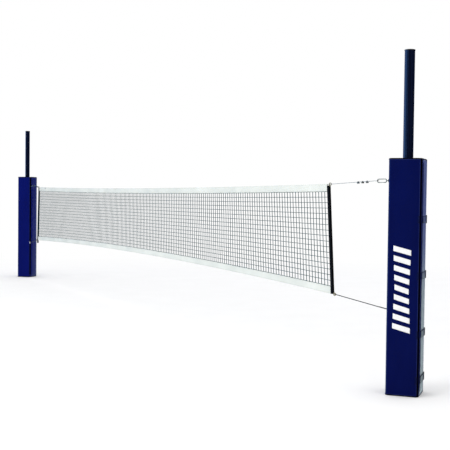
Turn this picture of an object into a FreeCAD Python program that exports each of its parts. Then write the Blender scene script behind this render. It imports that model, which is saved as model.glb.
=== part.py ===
import FreeCAD, Part
import math
import os

from FreeCAD import Vector

# Volleyball net on two padded posts. Millimetres.
# Origin: floor level, midway between the two post axes.
# +X runs along the net to the anchor post, +Y across the net, +Z up.

# ---- driving dimensions -------------------------------------------------------------------
POST_SPACING = 11000.0
POST_TOP = 2660.0
POST_R = 40.0
POST_BORE_R = 35.0
SOCKET_DEPTH = 250.0
SPIGOT_R = 39.5

PAD_SIDE = 256.0
PAD_WALL = 35.0
PAD_HEIGHT = 1829.0
ANCHOR_PAD_TURN = -2.7
WINCH_PAD_TURN = 4.0
SLIT_HALF = 7.0
SLIT_BOTTOM = 50.0

NET_ANCHOR_TOP_X = 4404.0
NET_ANCHOR_LOW_X = 4490.0
NET_WINCH_TOP_X = -4720.0
NET_WINCH_LOW_X = -4788.0
NET_TOP_Z = 1640.0
NET_LOW_Z = 674.0
NET_TOP_SAG = 29.0
NET_LOW_RISE = 86.0
NET_LOW_CREST_X = -600.0
TAPE_WIDTH = 66.0
BAND_WIDTH = 38.0

CABLE_Z = 1660.0
CORD_Z = 632.0
CABLE_R = 2.0
CORD_R = 2.5
CABLE_STOP_R = 3.2
CORD_KNOT_R = 5.0

# ---- derived and secondary sizes ----------------------------------------------------------
ANCHOR_X = POST_SPACING / 2
WINCH_X = -POST_SPACING / 2
FOOT_DROP = 8.0
CAP_R = 42.0
CAP_THICK = 8.0
CAP_ROUND = 3.0
CAP_PLUG_DEPTH = 25.0
FOOT_PLUG_DEPTH = 30.0
FOOT_INSET = 1.5
PLUG_GAP = 0.3

SLOT_MOUTH_HALF = 6.0
SLOT_HALF = 13.0
SLOT_NEAR = 26.0
SLOT_FAR = 36.0
SLOT_WALL = 4.0
FLUTE_R = 5.0
FLUTE_OFFSET = 44.0
FLUTE_ANGLES = (60.0, 120.0, 180.0, 240.0, 300.0)

SKIN = 1.5
SKIN_GAP = 0.3
BINDING = 7.0
FLAP_GAP = 2.0
STRAP_HEIGHTS = (130.0, 480.0, 930.0, 1360.0)
STRAP_TALL = 50.0
STRAP_THICK = 2.5
STRAP_START = 8.0
STRAP_LAP = 24.0
STRAP_LIFT = 1.8
BUCKLE_START = 12.0
BUCKLE_WIDE = 24.0
BUCKLE_BAR = 6.0
BUCKLE_THICK = 3.0
BUCKLE_GAP = 0.2
PATCH_START = 4.0
PATCH_WIDE = 18.0
PATCH_LOW = 0.2
PATCH_HIGH = 1.5
PATCH_INSET = 3.0
ZIP_HALF = 4.0
LIP_SLOPE = 1.4
FOAM_TOP_GAP = 2.0

SADDLE_GAP = 0.3
SADDLE_R = 50.0
SADDLE_FRONT = 56.0
SADDLE_HALF_WIDTH = 15.0
SADDLE_HALF_HEIGHT = 45.0
SADDLE_EDGE = 24.0
SADDLE_DROP = 10.0
NUT_GAP = 0.2
NUT_INSET = 8.0
KNOB_DROP = 26.0
SCREW_R = 5.0
SCREW_GAP = 0.06
SCREW_START = 2.0
KNOB_R = 20.0
KNOB_LIFT = 4.0
KNOB_THICK = 20.0
KNOB_LOBES = 5
LOBE_OFFSET = 25.0
LOBE_R = 9.0
EYE_SHANK_R = 5.0
EYE_SHANK_GAP = 0.02
EYE_SHANK_START = 1.5
EYE_RING_R = 12.5
EYE_ROD_R = 4.0
TOP_EYE_REACH = 228.0
LOW_EYE_REACH = 190.0

DRUM_REACH = 72.0
DRUM_CORE_R = 8.0
DRUM_FLANGE_R = 15.0
DRUM_HALF = 20.8
CHEEK_INNER = 21.0
CHEEK_THICK = 4.0
RATCHET_TEETH = 12
RATCHET_R = 14.0
RATCHET_ROOT_R = 11.0
TOOTH_SLANT = 0.02
WINCH_LINE_R = 2.5
DRUM_Z = CABLE_Z - DRUM_CORE_R - WINCH_LINE_R - 0.1
DRUM_FLANGE_THICK = 3.0
SHAFT_R = 5.0
SHAFT_BACK = 33.0
SHAFT_FRONT = 34.0
SQUARE_HALF = 3.5
SQUARE_LENGTH = 10.0
CHEEK_OUT = 16.0
CHEEK_BELOW = 20.0
CHEEK_ABOVE = 30.0
BEARING_GAP = 0.05
WINCH_SADDLE_HALF_HEIGHT = 80.0
WINCH_NUT_HALF_HEIGHT = 60.0
PAWL_HUB_R = 5.0
PAWL_PIN_R = 2.5
WRAP_STEP = 5.3

HOOK_LENGTH = 125.0
HOOK_HEIGHT = 34.0
HOOK_ROD_R = 3.4
HOOK_EYE_R = 9.5
HOOK_EYE_ROD_R = 2.7

RING_R = 11.0
RING_ROD_R = 2.2
RING_OUT = 37.0
SPAN_STEPS = 12

X_AXIS = Vector(1, 0, 0)
Y_AXIS = Vector(0, 1, 0)
Z_AXIS = Vector(0, 0, 1)
ORIGIN = Vector(0, 0, 0)


# ---- small shape helpers ------------------------------------------------------------------
def box(x0, x1, y0, y1, z0, z1):
    return Part.makeBox(x1 - x0, y1 - y0, z1 - z0, Vector(x0, y0, z0))


def rod(start, end, radius):
    start, end = Vector(*start), Vector(*end)
    along = end - start
    return Part.makeCylinder(radius, along.Length, start, along)


def ball(centre, radius):
    return Part.makeSphere(radius, Vector(*centre))


def torus(centre, axis, ring_r, rod_r):
    return Part.makeTorus(ring_r, rod_r, Vector(*centre), axis)


def prism(points, z0, z1):
    corners = [Vector(x, y, z0) for x, y in points]
    face = Part.Face(Part.makePolygon(corners + corners[:1]))
    return face.extrude(Vector(0, 0, z1 - z0))


def plate_xz(points, y0, y1):
    corners = [Vector(x, y0, z) for x, z in points]
    face = Part.Face(Part.makePolygon(corners + corners[:1]))
    return face.extrude(Vector(0, y1 - y0, 0))


def join(shapes):
    shapes = list(shapes)
    whole = shapes[0]
    if len(shapes) > 1:
        whole = whole.fuse(shapes[1:])
    return whole.removeSplitter()


def chain(points, radius):
    """A round rope along the points, mitred at each bend."""
    corners = [Vector(*point) for point in points]
    spine = Part.Wire(Part.makePolygon(corners))
    circle = Part.Wire(Part.makeCircle(radius, corners[0], corners[1] - corners[0]))
    return spine.makePipeShell([circle], True, False, 1)


def arc_rope(points, radius):
    """A round rope along the circle through the first, middle and last points."""
    first, middle, last = (Vector(*points[i]) for i in (0, len(points) // 2, -1))
    edge = Part.Arc(first, middle, last).toShape()
    start = edge.FirstParameter
    section = Part.Face(Part.Wire(Part.makeCircle(radius, first, edge.tangentAt(start))))
    sweep = math.degrees(edge.LastParameter - start)
    return section.revolve(edge.Curve.Center, edge.Curve.Axis, sweep)


def at_post(shape, post_x, turn):
    """Moves a shape drawn round the Z axis to a post, after turning it."""
    moved = shape.copy()
    moved.rotate(ORIGIN, Z_AXIS, turn)
    moved.translate(Vector(post_x, 0, 0))
    return moved


def anchor_side(shape):
    return at_post(shape, ANCHOR_X, 180.0)


def winch_side(shape):
    return at_post(shape, WINCH_X, 0.0)


def group(shapes):
    return Part.makeCompound(list(shapes))


# ---- posts --------------------------------------------------------------------------------
def post_profile(outer_r, z0, z1, fluted):
    """Hollow extrusion with a T-slot that opens along +X."""
    tall = z1 - z0
    outer = Part.makeCylinder(outer_r, tall, Vector(0, 0, z0))
    bore = Part.makeCylinder(POST_BORE_R, tall, Vector(0, 0, z0))
    wall = SLOT_HALF + SLOT_WALL
    housing = box(SLOT_NEAR - SLOT_WALL, outer_r, -wall, wall, z0, z1).common(outer)
    shape = outer.cut(bore).fuse(housing)
    shape = shape.cut(box(SLOT_NEAR, SLOT_FAR, -SLOT_HALF, SLOT_HALF, z0, z1))
    shape = shape.cut(box(SLOT_NEAR, outer_r + 1, -SLOT_MOUTH_HALF, SLOT_MOUTH_HALF, z0, z1))
    if fluted:
        for angle in FLUTE_ANGLES:
            spot = Vector(FLUTE_OFFSET, 0, z0)
            flute = Part.makeCylinder(FLUTE_R, tall, spot)
            flute.rotate(ORIGIN, Z_AXIS, angle)
            shape = shape.cut(flute)
    return shape


def post_tube():
    spigot = post_profile(SPIGOT_R, -SOCKET_DEPTH, 0.0, False)
    shaft = post_profile(POST_R, 0.0, POST_TOP, True)
    return join([spigot, shaft])


def end_plug(z0, z1):
    """The part of a cap or foot that fills the bore beside the slot housing."""
    plug = Part.makeCylinder(POST_BORE_R - PLUG_GAP, z1 - z0, Vector(0, 0, z0))
    wall = SLOT_HALF + SLOT_WALL + PLUG_GAP
    return plug.cut(box(SLOT_NEAR - SLOT_WALL - PLUG_GAP, POST_R, -wall, wall, z0, z1))


def post_cap():
    disc = Part.makeCylinder(CAP_R, CAP_THICK, Vector(0, 0, POST_TOP))
    disc = disc.makeFillet(CAP_ROUND, [disc.Edges[0]])
    return join([disc, end_plug(POST_TOP - CAP_PLUG_DEPTH, POST_TOP)])


def post_foot():
    bottom = -SOCKET_DEPTH
    disc = Part.makeCylinder(SPIGOT_R - FOOT_INSET, FOOT_DROP, Vector(0, 0, bottom - FOOT_DROP))
    return join([disc, end_plug(bottom, bottom + FOOT_PLUG_DEPTH)])


# ---- pads: drawn square to the axes, flap on the -X side, hinged at (-half, -half) ----------
HALF = PAD_SIDE / 2
INNER = HALF - PAD_WALL
HALF_TURN = 45.0


def wrap_outline(inset):
    out, inn, lip = HALF - inset, INNER + inset, inset * LIP_SLOPE
    return [
        (-out + lip, -out), (out, -out), (out, out), (-out + lip, out),
        (-inn + lip, inn), (inn, inn), (inn, -inn), (-inn + lip, -inn),
    ]


def flap_outline(inset):
    out, inn, lip = HALF - inset, INNER + inset, FLAP_GAP + inset * LIP_SLOPE
    return [(-out, -out + lip), (-inn, -inn + lip), (-inn, inn - lip), (-out, out - lip)]


def square_to_corner(shape, mirrored):
    """Turns the net-facing corner to +X; mirrored puts the flap on the other side."""
    turned = shape.copy()
    turned.rotate(ORIGIN, Z_AXIS, HALF_TURN)
    if mirrored:
        turned = turned.mirror(ORIGIN, Y_AXIS)
    return turned


def seat_pad(shape, side):
    if side == "anchor":
        return at_post(square_to_corner(shape, False), ANCHOR_X, 180.0 + ANCHOR_PAD_TURN)
    return at_post(square_to_corner(shape, True), WINCH_X, WINCH_PAD_TURN)


def slit(side, half_width, z0):
    """The upright cut at the net-facing corner that the cable fittings travel in."""
    reach = HALF * 1.6
    if side == "anchor":
        x0, x1 = ANCHOR_X - reach, ANCHOR_X - POST_R
    else:
        x0, x1 = WINCH_X + POST_R, WINCH_X + reach
    return box(x0, x1, -half_width, half_width, z0, PAD_HEIGHT + 1)


def pad_cover(side):
    """The folded skin of the wrap, open along its top under the binding."""
    top = PAD_HEIGHT - BINDING
    skin = seat_pad(prism(wrap_outline(0.0), 0.0, top), side)
    skin = skin.cut(slit(side, SLIT_HALF, SLIT_BOTTOM))
    pocket = seat_pad(prism(wrap_outline(SKIN), SKIN, top), side)
    pocket = pocket.cut(slit(side, SLIT_HALF + SKIN, 0.0))
    return skin.cut(pocket)


def pad_foam(side):
    inset = SKIN + SKIN_GAP
    foam = prism(wrap_outline(inset), inset, PAD_HEIGHT - BINDING - FOAM_TOP_GAP)
    return seat_pad(foam, side).cut(slit(side, SLIT_HALF + inset, 0.0))


def pad_binding(side):
    strip = seat_pad(prism(wrap_outline(0.0), PAD_HEIGHT - BINDING, PAD_HEIGHT), side)
    return strip.cut(slit(side, SLIT_HALF, SLIT_BOTTOM))


def flap_cover(side):
    skin = prism(flap_outline(0.0), 0.0, PAD_HEIGHT)
    pocket = prism(flap_outline(SKIN), SKIN, PAD_HEIGHT - SKIN)
    slot = prism(pocket_mouth(), SKIN, PAD_HEIGHT - SKIN)
    return seat_pad(skin.cut(pocket).cut(slot), side)


def pocket_mouth():
    """A zip opening down the flap's inner face, where the foam goes in."""
    deep, clear = -INNER - SKIN - 1, -INNER + 1
    return [(deep, -ZIP_HALF), (clear, -ZIP_HALF), (clear, ZIP_HALF), (deep, ZIP_HALF)]


def flap_foam(side):
    inset = SKIN + SKIN_GAP
    return seat_pad(prism(flap_outline(inset), inset, PAD_HEIGHT - inset), side)


def strap(z):
    """Webbing across the flap that turns the corner and laps onto the wrap."""
    near, far = -HALF - SKIN_GAP, -HALF - SKIN_GAP - STRAP_THICK
    low, high = HALF + STRAP_LIFT, HALF + STRAP_LIFT + STRAP_THICK
    start, end = -HALF + STRAP_START, -HALF + STRAP_LAP
    outline = [(near, start), (far, start), (far, high), (end, high), (end, low), (near, low)]
    return prism(outline, z - STRAP_TALL / 2, z + STRAP_TALL / 2)


def strap_buckle(z):
    """A rectangular loop that lies on the strap near the flap's hinge."""
    x1 = -HALF - SKIN_GAP - STRAP_THICK - BUCKLE_GAP
    x0 = x1 - BUCKLE_THICK
    y0, y1 = -HALF + BUCKLE_START, -HALF + BUCKLE_START + BUCKLE_WIDE
    hole = STRAP_TALL / 2
    tall = hole + BUCKLE_BAR
    frame = box(x0, x1, y0, y1, z - tall, z + tall)
    return frame.cut(box(x0 - 1, x1 + 1, y0 + BUCKLE_BAR, y1 - BUCKLE_BAR, z - hole, z + hole))


def hook_patch(z):
    """The fixed half of the hook-and-loop closure, under the strap's lap."""
    half = STRAP_TALL / 2 - PATCH_INSET
    x0 = -HALF + PATCH_START
    return box(x0, x0 + PATCH_WIDE, HALF + PATCH_LOW, HALF + PATCH_HIGH, z - half, z + half)


def pad_group(maker, side):
    return seat_pad(group(maker(z) for z in STRAP_HEIGHTS), side)


# ---- sliders: drawn round the Z axis, with the net towards +X --------------------------------
def saddle(z, half_height, half_width, holes):
    low, high = z - half_height, z + half_height
    tall = high - low
    shell = Part.makeCylinder(SADDLE_R, tall, Vector(0, 0, low))
    shell = shell.common(box(SADDLE_EDGE, SADDLE_R + 1, -SADDLE_R, SADDLE_R, low, high))
    front = box(SADDLE_EDGE + 6, SADDLE_FRONT, -half_width, half_width, low, high)
    body = shell.fuse(front)
    body = body.cut(Part.makeCylinder(POST_R + SADDLE_GAP, tall, Vector(0, 0, low)))
    for hole_z, radius in holes:
        body = body.cut(rod((POST_R - 5, 0, hole_z), (SADDLE_FRONT + 5, 0, hole_z), radius))
    return body.removeSplitter()


def slot_nut(z, half_height, screw_z):
    """A sliding nut in the post's T-slot, with its neck in the slot's mouth."""
    low, high = z - half_height, z + half_height
    wide, narrow = SLOT_HALF - NUT_GAP, SLOT_MOUTH_HALF - NUT_GAP
    shoulder = SLOT_FAR - NUT_GAP
    head = box(SLOT_NEAR + 1, shoulder, -wide, wide, low, high)
    neck = box(shoulder, POST_R - 1, -narrow, narrow, low, high)
    nut = join([head, neck])
    return nut.cut(rod((SLOT_NEAR, 0, screw_z), (POST_R + 5, 0, screw_z), SCREW_R + SCREW_GAP))


def clamp_knob(z):
    """A lobed knob with its screw along X."""
    near, far = SADDLE_FRONT + KNOB_LIFT, SADDLE_FRONT + KNOB_LIFT + KNOB_THICK
    screw = rod((SLOT_NEAR + SCREW_START, 0, z), (near + 2, 0, z), SCREW_R)
    head = rod((near, 0, z), (far, 0, z), KNOB_R)
    for lobe in range(KNOB_LOBES):
        angle = 2 * math.pi * (lobe + 0.5) / KNOB_LOBES
        y, lobe_z = LOBE_OFFSET * math.cos(angle), z + LOBE_OFFSET * math.sin(angle)
        head = head.cut(rod((near - 1, y, lobe_z), (far + 1, y, lobe_z), LOBE_R))
    return join([screw, head])


def eye_bolt(z, reach):
    """A shank with an upright ring, set in the saddle."""
    shank = rod((POST_R + EYE_SHANK_START, 0, z), (reach - EYE_RING_R, 0, z), EYE_SHANK_R)
    ring = torus((reach, 0, z), Y_AXIS, EYE_RING_R, EYE_ROD_R)
    beyond = 2 * EYE_SHANK_R
    hole = rod((reach, -beyond, z), (reach, beyond, z), EYE_RING_R - EYE_ROD_R)
    return join([shank.cut(hole), ring])


def plain_slider(z, reach):
    screw_z = z - KNOB_DROP
    middle_z = z - SADDLE_DROP
    holes = [(z, EYE_SHANK_R + EYE_SHANK_GAP), (screw_z, SCREW_R + SCREW_GAP)]
    return {
        "saddle": saddle(middle_z, SADDLE_HALF_HEIGHT, SADDLE_HALF_WIDTH, holes),
        "slot_nut": slot_nut(middle_z, SADDLE_HALF_HEIGHT - NUT_INSET, screw_z),
        "eye": eye_bolt(z, reach),
        "knob": clamp_knob(screw_z),
    }


# ---- ratchet winch on the upper winch-post slider ----------------------------------------------
WINCH_KNOB_Z = CABLE_Z - 66.0
WINCH_SADDLE_Z = CABLE_Z - 40.0
PAWL_Z = DRUM_Z + RATCHET_R + 9.0
RATCHET_Y = CHEEK_INNER + CHEEK_THICK + 1.0
RATCHET_THICK = 4.0


def winch_saddle():
    holes = [(WINCH_KNOB_Z, SCREW_R + SCREW_GAP)]
    return saddle(WINCH_SADDLE_Z, WINCH_SADDLE_HALF_HEIGHT, CHEEK_INNER + CHEEK_THICK, holes)


def winch_cheeks():
    """The two side plates, the far one with the pawl's pin."""
    cheeks = []
    for side in (-1, 1):
        y0, y1 = sorted((side * CHEEK_INNER, side * (CHEEK_INNER + CHEEK_THICK)))
        z0, z1 = DRUM_Z - CHEEK_BELOW, DRUM_Z + CHEEK_ABOVE
        cheek = box(SADDLE_FRONT, DRUM_REACH + CHEEK_OUT, y0, y1, z0, z1)
        hole = rod((DRUM_REACH, y0 - 1, DRUM_Z), (DRUM_REACH, y1 + 1, DRUM_Z), SHAFT_R + BEARING_GAP)
        cheeks.append(cheek.cut(hole))
    pin_start, pin_end = RATCHET_Y - 1.0, RATCHET_Y + RATCHET_THICK + 2.0
    pin = rod((DRUM_REACH, pin_start, PAWL_Z), (DRUM_REACH, pin_end, PAWL_Z), PAWL_PIN_R)
    cheeks[1] = join([cheeks[1], pin])
    return group(cheeks)


def winch_drum():
    """The flanged drum on its shaft, with a square at one end for a loose crank."""
    def slice_y(y0, y1, radius):
        return rod((DRUM_REACH, y0, DRUM_Z), (DRUM_REACH, y1, DRUM_Z), radius)

    core = slice_y(-DRUM_HALF, DRUM_HALF, DRUM_CORE_R)
    left = slice_y(-DRUM_HALF, -DRUM_HALF + DRUM_FLANGE_THICK, DRUM_FLANGE_R)
    right = slice_y(DRUM_HALF - DRUM_FLANGE_THICK, DRUM_HALF, DRUM_FLANGE_R)
    shaft = slice_y(-SHAFT_BACK, SHAFT_FRONT, SHAFT_R)
    x0, x1 = DRUM_REACH - SQUARE_HALF, DRUM_REACH + SQUARE_HALF
    z0, z1 = DRUM_Z - SQUARE_HALF, DRUM_Z + SQUARE_HALF
    square = box(x0, x1, -SHAFT_BACK - SQUARE_LENGTH, -SHAFT_BACK, z0, z1)
    return join([core, left, right, shaft, square])


def ratchet_wheel():
    points = []
    for tooth in range(RATCHET_TEETH):
        start = 2 * math.pi * tooth / RATCHET_TEETH
        points.append((RATCHET_ROOT_R, start))
        points.append((RATCHET_R, start + TOOTH_SLANT))
    outline = [(DRUM_REACH + r * math.cos(a), DRUM_Z + r * math.sin(a)) for r, a in points]
    wheel = plate_xz(outline, RATCHET_Y, RATCHET_Y + RATCHET_THICK)
    return wheel.cut(rod((DRUM_REACH, 0, DRUM_Z), (DRUM_REACH, 60, DRUM_Z), SHAFT_R + 0.01))


def winch_pawl():
    """A hub with a tooth that hangs over the wheel and a thumb lever behind it."""
    y0, y1 = RATCHET_Y, RATCHET_Y + RATCHET_THICK
    hub = rod((DRUM_REACH, y0, PAWL_Z), (DRUM_REACH, y1, PAWL_Z), PAWL_HUB_R)
    arm = plate_xz(
        [
            (DRUM_REACH, PAWL_Z + 4.5), (DRUM_REACH + 13, PAWL_Z + 1.0),
            (DRUM_REACH + 14, PAWL_Z - 5.0), (DRUM_REACH, PAWL_Z - 4.5),
        ],
        y0, y1,
    )
    lever = plate_xz(
        [
            (DRUM_REACH, PAWL_Z + 4.5), (DRUM_REACH - 14, PAWL_Z + 12.0),
            (DRUM_REACH - 15, PAWL_Z + 8.0), (DRUM_REACH, PAWL_Z - 3.0),
        ],
        y0, y1,
    )
    hole = rod((DRUM_REACH, y0 - 1, PAWL_Z), (DRUM_REACH, y1 + 1, PAWL_Z), PAWL_PIN_R + BEARING_GAP)
    return join([hub, arm, lever]).cut(hole)


def drum_wraps():
    """The turns of line left on the drum, either side of the turn that pays out."""
    ring_r = DRUM_CORE_R + WINCH_LINE_R + 0.05
    rings = []
    for step in (-2, -1, 1, 2):
        rings.append(torus((DRUM_REACH, step * WRAP_STEP, DRUM_Z), Y_AXIS, ring_r, WINCH_LINE_R))
    return group(rings)


# ---- net ------------------------------------------------------------------------------------
def top_edge(x):
    mid = (NET_ANCHOR_TOP_X + NET_WINCH_TOP_X) / 2
    half = (NET_ANCHOR_TOP_X - NET_WINCH_TOP_X) / 2
    return NET_TOP_Z - NET_TOP_SAG * (1 - ((x - mid) / half) ** 2)


def low_edge(x):
    half = NET_ANCHOR_LOW_X - NET_LOW_CREST_X
    return NET_LOW_Z + NET_LOW_RISE * (1 - ((x - NET_LOW_CREST_X) / half) ** 2)


def anchor_edge(z):
    """X of the end band's centre line at the anchor end, which leans."""
    share = (NET_TOP_Z - z) / (NET_TOP_Z - NET_LOW_Z)
    return NET_ANCHOR_TOP_X + share * (NET_ANCHOR_LOW_X - NET_ANCHOR_TOP_X)


def winch_edge(z):
    share = (NET_TOP_Z - z) / (NET_TOP_Z - NET_LOW_Z)
    return NET_WINCH_TOP_X + share * (NET_WINCH_LOW_X - NET_WINCH_TOP_X)


def span_points(height, inset):
    """Points along a curved edge between the two end bands."""
    x0 = winch_edge(height(NET_WINCH_LOW_X)) + BAND_WIDTH / 2 + inset
    x1 = anchor_edge(height(NET_ANCHOR_LOW_X)) - BAND_WIDTH / 2 - inset
    step = (x1 - x0) / SPAN_STEPS
    return [(x0 + step * i, height(x0 + step * i)) for i in range(SPAN_STEPS + 1)]


def strip(upper, lower, inset, y_half):
    top = span_points(upper, inset)
    bottom = span_points(lower, inset)
    return plate_xz(top + bottom[::-1], -y_half, y_half)


def shifted(edge, rise):
    return lambda x: edge(x) + rise


HEM_HALF = 4.6
HEM_CAVITY = 3.4
HEM_SKIN = 1.2
HEM_END_GAP = 1.5
MESH_HALF = 1.5
MESH_LAP = 18.0
MESH_END_GAP = 2.0
PAST_END = 5.0


def top_tape():
    """A folded band, open below where the mesh goes in."""
    outer = strip(top_edge, shifted(top_edge, -TAPE_WIDTH), HEM_END_GAP, HEM_HALF)
    roof, mouth = shifted(top_edge, -HEM_SKIN), shifted(top_edge, -TAPE_WIDTH - 1)
    return outer.cut(strip(roof, mouth, -PAST_END, HEM_CAVITY))


def bottom_tape():
    """A folded band, open above where the mesh goes in."""
    outer = strip(shifted(low_edge, TAPE_WIDTH), low_edge, HEM_END_GAP, HEM_HALF)
    mouth, floor = shifted(low_edge, TAPE_WIDTH + 1), shifted(low_edge, HEM_SKIN)
    return outer.cut(strip(mouth, floor, -PAST_END, HEM_CAVITY))


def net_mesh():
    upper = shifted(top_edge, MESH_LAP - TAPE_WIDTH)
    lower = shifted(low_edge, TAPE_WIDTH - MESH_LAP)
    return strip(upper, lower, MESH_END_GAP, MESH_HALF)


DOWEL_R = 6.0
DOWEL_GAP = 0.4
BAND_HALF = 9.0
ANCHOR_BAND_LOW = NET_LOW_Z + 4.0
WINCH_BAND_LOW = 655.0
BAND_TOP = NET_TOP_Z - 14.0
TUNNEL_HALF = 7.0
TUNNEL_DEEP = 4.0
TUNNEL_LONG = 40.0


def hem_cord_z(x):
    return low_edge(x) + HEM_CORD_RISE


def end_band(edge, low, corner_x):
    """The sleeve over the dowel, with a tunnel across its foot for the bottom cord."""
    half = BAND_WIDTH / 2
    outline = [
        (edge(low) - half, low), (edge(low) + half, low),
        (edge(BAND_TOP) + half, BAND_TOP), (edge(BAND_TOP) - half, BAND_TOP),
    ]
    band = plate_xz(outline, -BAND_HALF, BAND_HALF)
    under, over = low - PAST_END, BAND_TOP + PAST_END
    sleeve = rod((edge(under), 0, under), (edge(over), 0, over), DOWEL_R + DOWEL_GAP)
    z0, z1 = hem_cord_z(corner_x) - TUNNEL_HALF, hem_cord_z(corner_x) + TUNNEL_HALF
    x0, x1 = corner_x - TUNNEL_LONG, corner_x + TUNNEL_LONG
    return band.cut(sleeve).cut(box(x0, x1, -TUNNEL_DEEP, TUNNEL_DEEP, z0, z1))


def end_dowel(edge, corner_x):
    low, high = hem_cord_z(corner_x) + TUNNEL_HALF + 3.0, BAND_TOP - 4.0
    return rod((edge(low), 0, low), (edge(high), 0, high), DOWEL_R)


# ---- cable, cord and their end fittings -------------------------------------------------------
LOOP_LEAD = 34.0
ANCHOR_TAIL = 300.0
WINCH_TAIL = 190.0
CORD_TAIL = 140.0
TAIL_GAP = 0.4


def loop_points(tip_x, z, towards, loop_r, strand):
    """A flat teardrop loop round an upright rod at tip_x, with its first strand on the net's plane."""
    bow = strand + LOOP_BOW
    shape = [(-LOOP_LEAD, -strand), (-LOOP_LEAD * 0.5, -bow)]
    for degrees in LOOP_ANGLES:
        angle = math.radians(degrees)
        shape.append((loop_r * math.cos(angle), loop_r * math.sin(angle)))
    shape += [(-LOOP_LEAD * 0.5, bow), (-LOOP_LEAD, strand)]
    return [(tip_x + towards * dx, y + strand, z) for dx, y in shape]


def strand_z(back, start, tip_x, z):
    """The height of a straight strand at a distance back from the loop's tip."""
    share = (back - LOOP_LEAD) / (abs(tip_x - start[0]) - LOOP_LEAD)
    return z + (start[2] - z) * share


def looped_end(start, tip_x, z, loop_r, radius, tail):
    """The end of a line from start: a strand, a loop, and the tail laid back beside the strand."""
    towards = 1 if tip_x > start[0] else -1
    strand = radius + TAIL_GAP / 2
    points = loop_points(tip_x, z, towards, loop_r, strand)
    tail_end = (tip_x - towards * tail, 2 * strand, strand_z(tail, start, tip_x, z))
    return chain([start] + points + [tail_end], radius)


HOOK_GAP = 14.0
KNOT_OUT = BAND_WIDTH / 2 + CORD_KNOT_R + 1
CORD_RING_OUT = 12.0
CABLE_END_INSET = 10.0
HEM_CLEAR = 0.8
LOOP_BOW = 2.0
LOOP_ANGLES = (-100, -70, -35, 0, 35, 70, 100)
LOOP_EASE = 4.2
ANCHOR_HOOK_EYE_X = ANCHOR_X - TOP_EYE_REACH - EYE_RING_R
ANCHOR_HOOK_X = ANCHOR_HOOK_EYE_X - HOOK_EYE_R - HOOK_GAP - HOOK_LENGTH
WINCH_HOOK_X = -5003.0
WINCH_HOOK_EYE_X = WINCH_HOOK_X - HOOK_LENGTH - HOOK_GAP - HOOK_EYE_R
CABLE_LOOP_R = HOOK_ROD_R + CABLE_R + LOOP_EASE
HEM_CABLE_DROP = HEM_SKIN + CABLE_R + HEM_CLEAR
HEM_CORD_RISE = HEM_SKIN + CORD_R + HEM_CLEAR
CORD_LOOP_R = EYE_ROD_R + CORD_R + LOOP_EASE


def hem_points(edge, offset, x0, x1):
    step = (x1 - x0) / SPAN_STEPS
    return [(x0 + step * i, 0, edge(x0 + step * i) + offset) for i in range(SPAN_STEPS + 1)]


ANCHOR_TIP_X = ANCHOR_HOOK_X + HOOK_ROD_R
WINCH_TIP_X = WINCH_HOOK_X - HOOK_ROD_R
ANCHOR_CORD_TIP_X = ANCHOR_X - LOW_EYE_REACH - EYE_RING_R
WINCH_CORD_TIP_X = WINCH_X + LOW_EYE_REACH + EYE_RING_R


def cable_in_hem():
    x0, x1 = NET_WINCH_TOP_X + CABLE_END_INSET, NET_ANCHOR_TOP_X - CABLE_END_INSET
    return hem_points(top_edge, -HEM_CABLE_DROP, x0, x1)


def cord_in_hem():
    x0, x1 = NET_WINCH_LOW_X - KNOT_OUT, NET_ANCHOR_LOW_X + KNOT_OUT
    return hem_points(low_edge, HEM_CORD_RISE, x0, x1)


def line_with_ends(hem, ends, radius, stop_r):
    """A line in its hem, with a round stop at each end of the hem and a looped end beyond it."""
    return join([arc_rope(hem, radius)] + ends + [ball(hem[0], stop_r), ball(hem[-1], stop_r)])


def top_cable():
    hem = cable_in_hem()
    ends = [
        looped_end(hem[-1], ANCHOR_TIP_X, CABLE_Z, CABLE_LOOP_R, CABLE_R, ANCHOR_TAIL),
        looped_end(hem[0], WINCH_TIP_X, CABLE_Z, CABLE_LOOP_R, CABLE_R, WINCH_TAIL),
    ]
    return line_with_ends(hem, ends, CABLE_R, CABLE_STOP_R)


def bottom_cord():
    hem = cord_in_hem()
    ends = [
        looped_end(hem[-1], ANCHOR_CORD_TIP_X, CORD_Z, CORD_LOOP_R, CORD_R, CORD_TAIL),
        looped_end(hem[0], WINCH_CORD_TIP_X, CORD_Z, CORD_LOOP_R, CORD_R, CORD_TAIL),
    ]
    return line_with_ends(hem, ends, CORD_R, CORD_KNOT_R)


CLIP_ROD_R = 1.8
CLIP_REACH = 2 * CABLE_R + CLIP_ROD_R + 1.0
CLIP_BLOCK_HALF = 6.0
CLIP_BLOCK_LOW = 9.0
CLIP_NUT_HALF = 3.4
CLIP_NUT_LOW = 12.0
CLIP_LEG_LOW = 14.0
CLIP_SHARES = (0.48, 0.69, 0.9)


def cable_clip(x, z):
    """A wire-rope clip: a saddle block under the two strands, a U-bolt and two nuts."""
    middle = CABLE_R + TAIL_GAP / 2
    y0, y1 = middle - CLIP_REACH, middle + CLIP_REACH
    crown_z = z + CABLE_R + CLIP_ROD_R + HEM_CLEAR
    block_z0, block_z1 = z - CLIP_BLOCK_LOW, z - CABLE_R - HEM_CLEAR
    half, edge = CLIP_BLOCK_HALF, CLIP_NUT_HALF
    pieces = [
        rod((x, y0, crown_z), (x, y1, crown_z), CLIP_ROD_R),
        box(x - half, x + half, y0 - 4, y1 + 4, block_z0, block_z1),
    ]
    for y in (y0, y1):
        pieces.append(rod((x, y, z - CLIP_LEG_LOW), (x, y, crown_z), CLIP_ROD_R))
        pieces.append(ball((x, y, crown_z), CLIP_ROD_R))
        pieces.append(box(x - edge, x + edge, y - edge, y + edge, z - CLIP_NUT_LOW, block_z0))
    return join(pieces)


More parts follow.
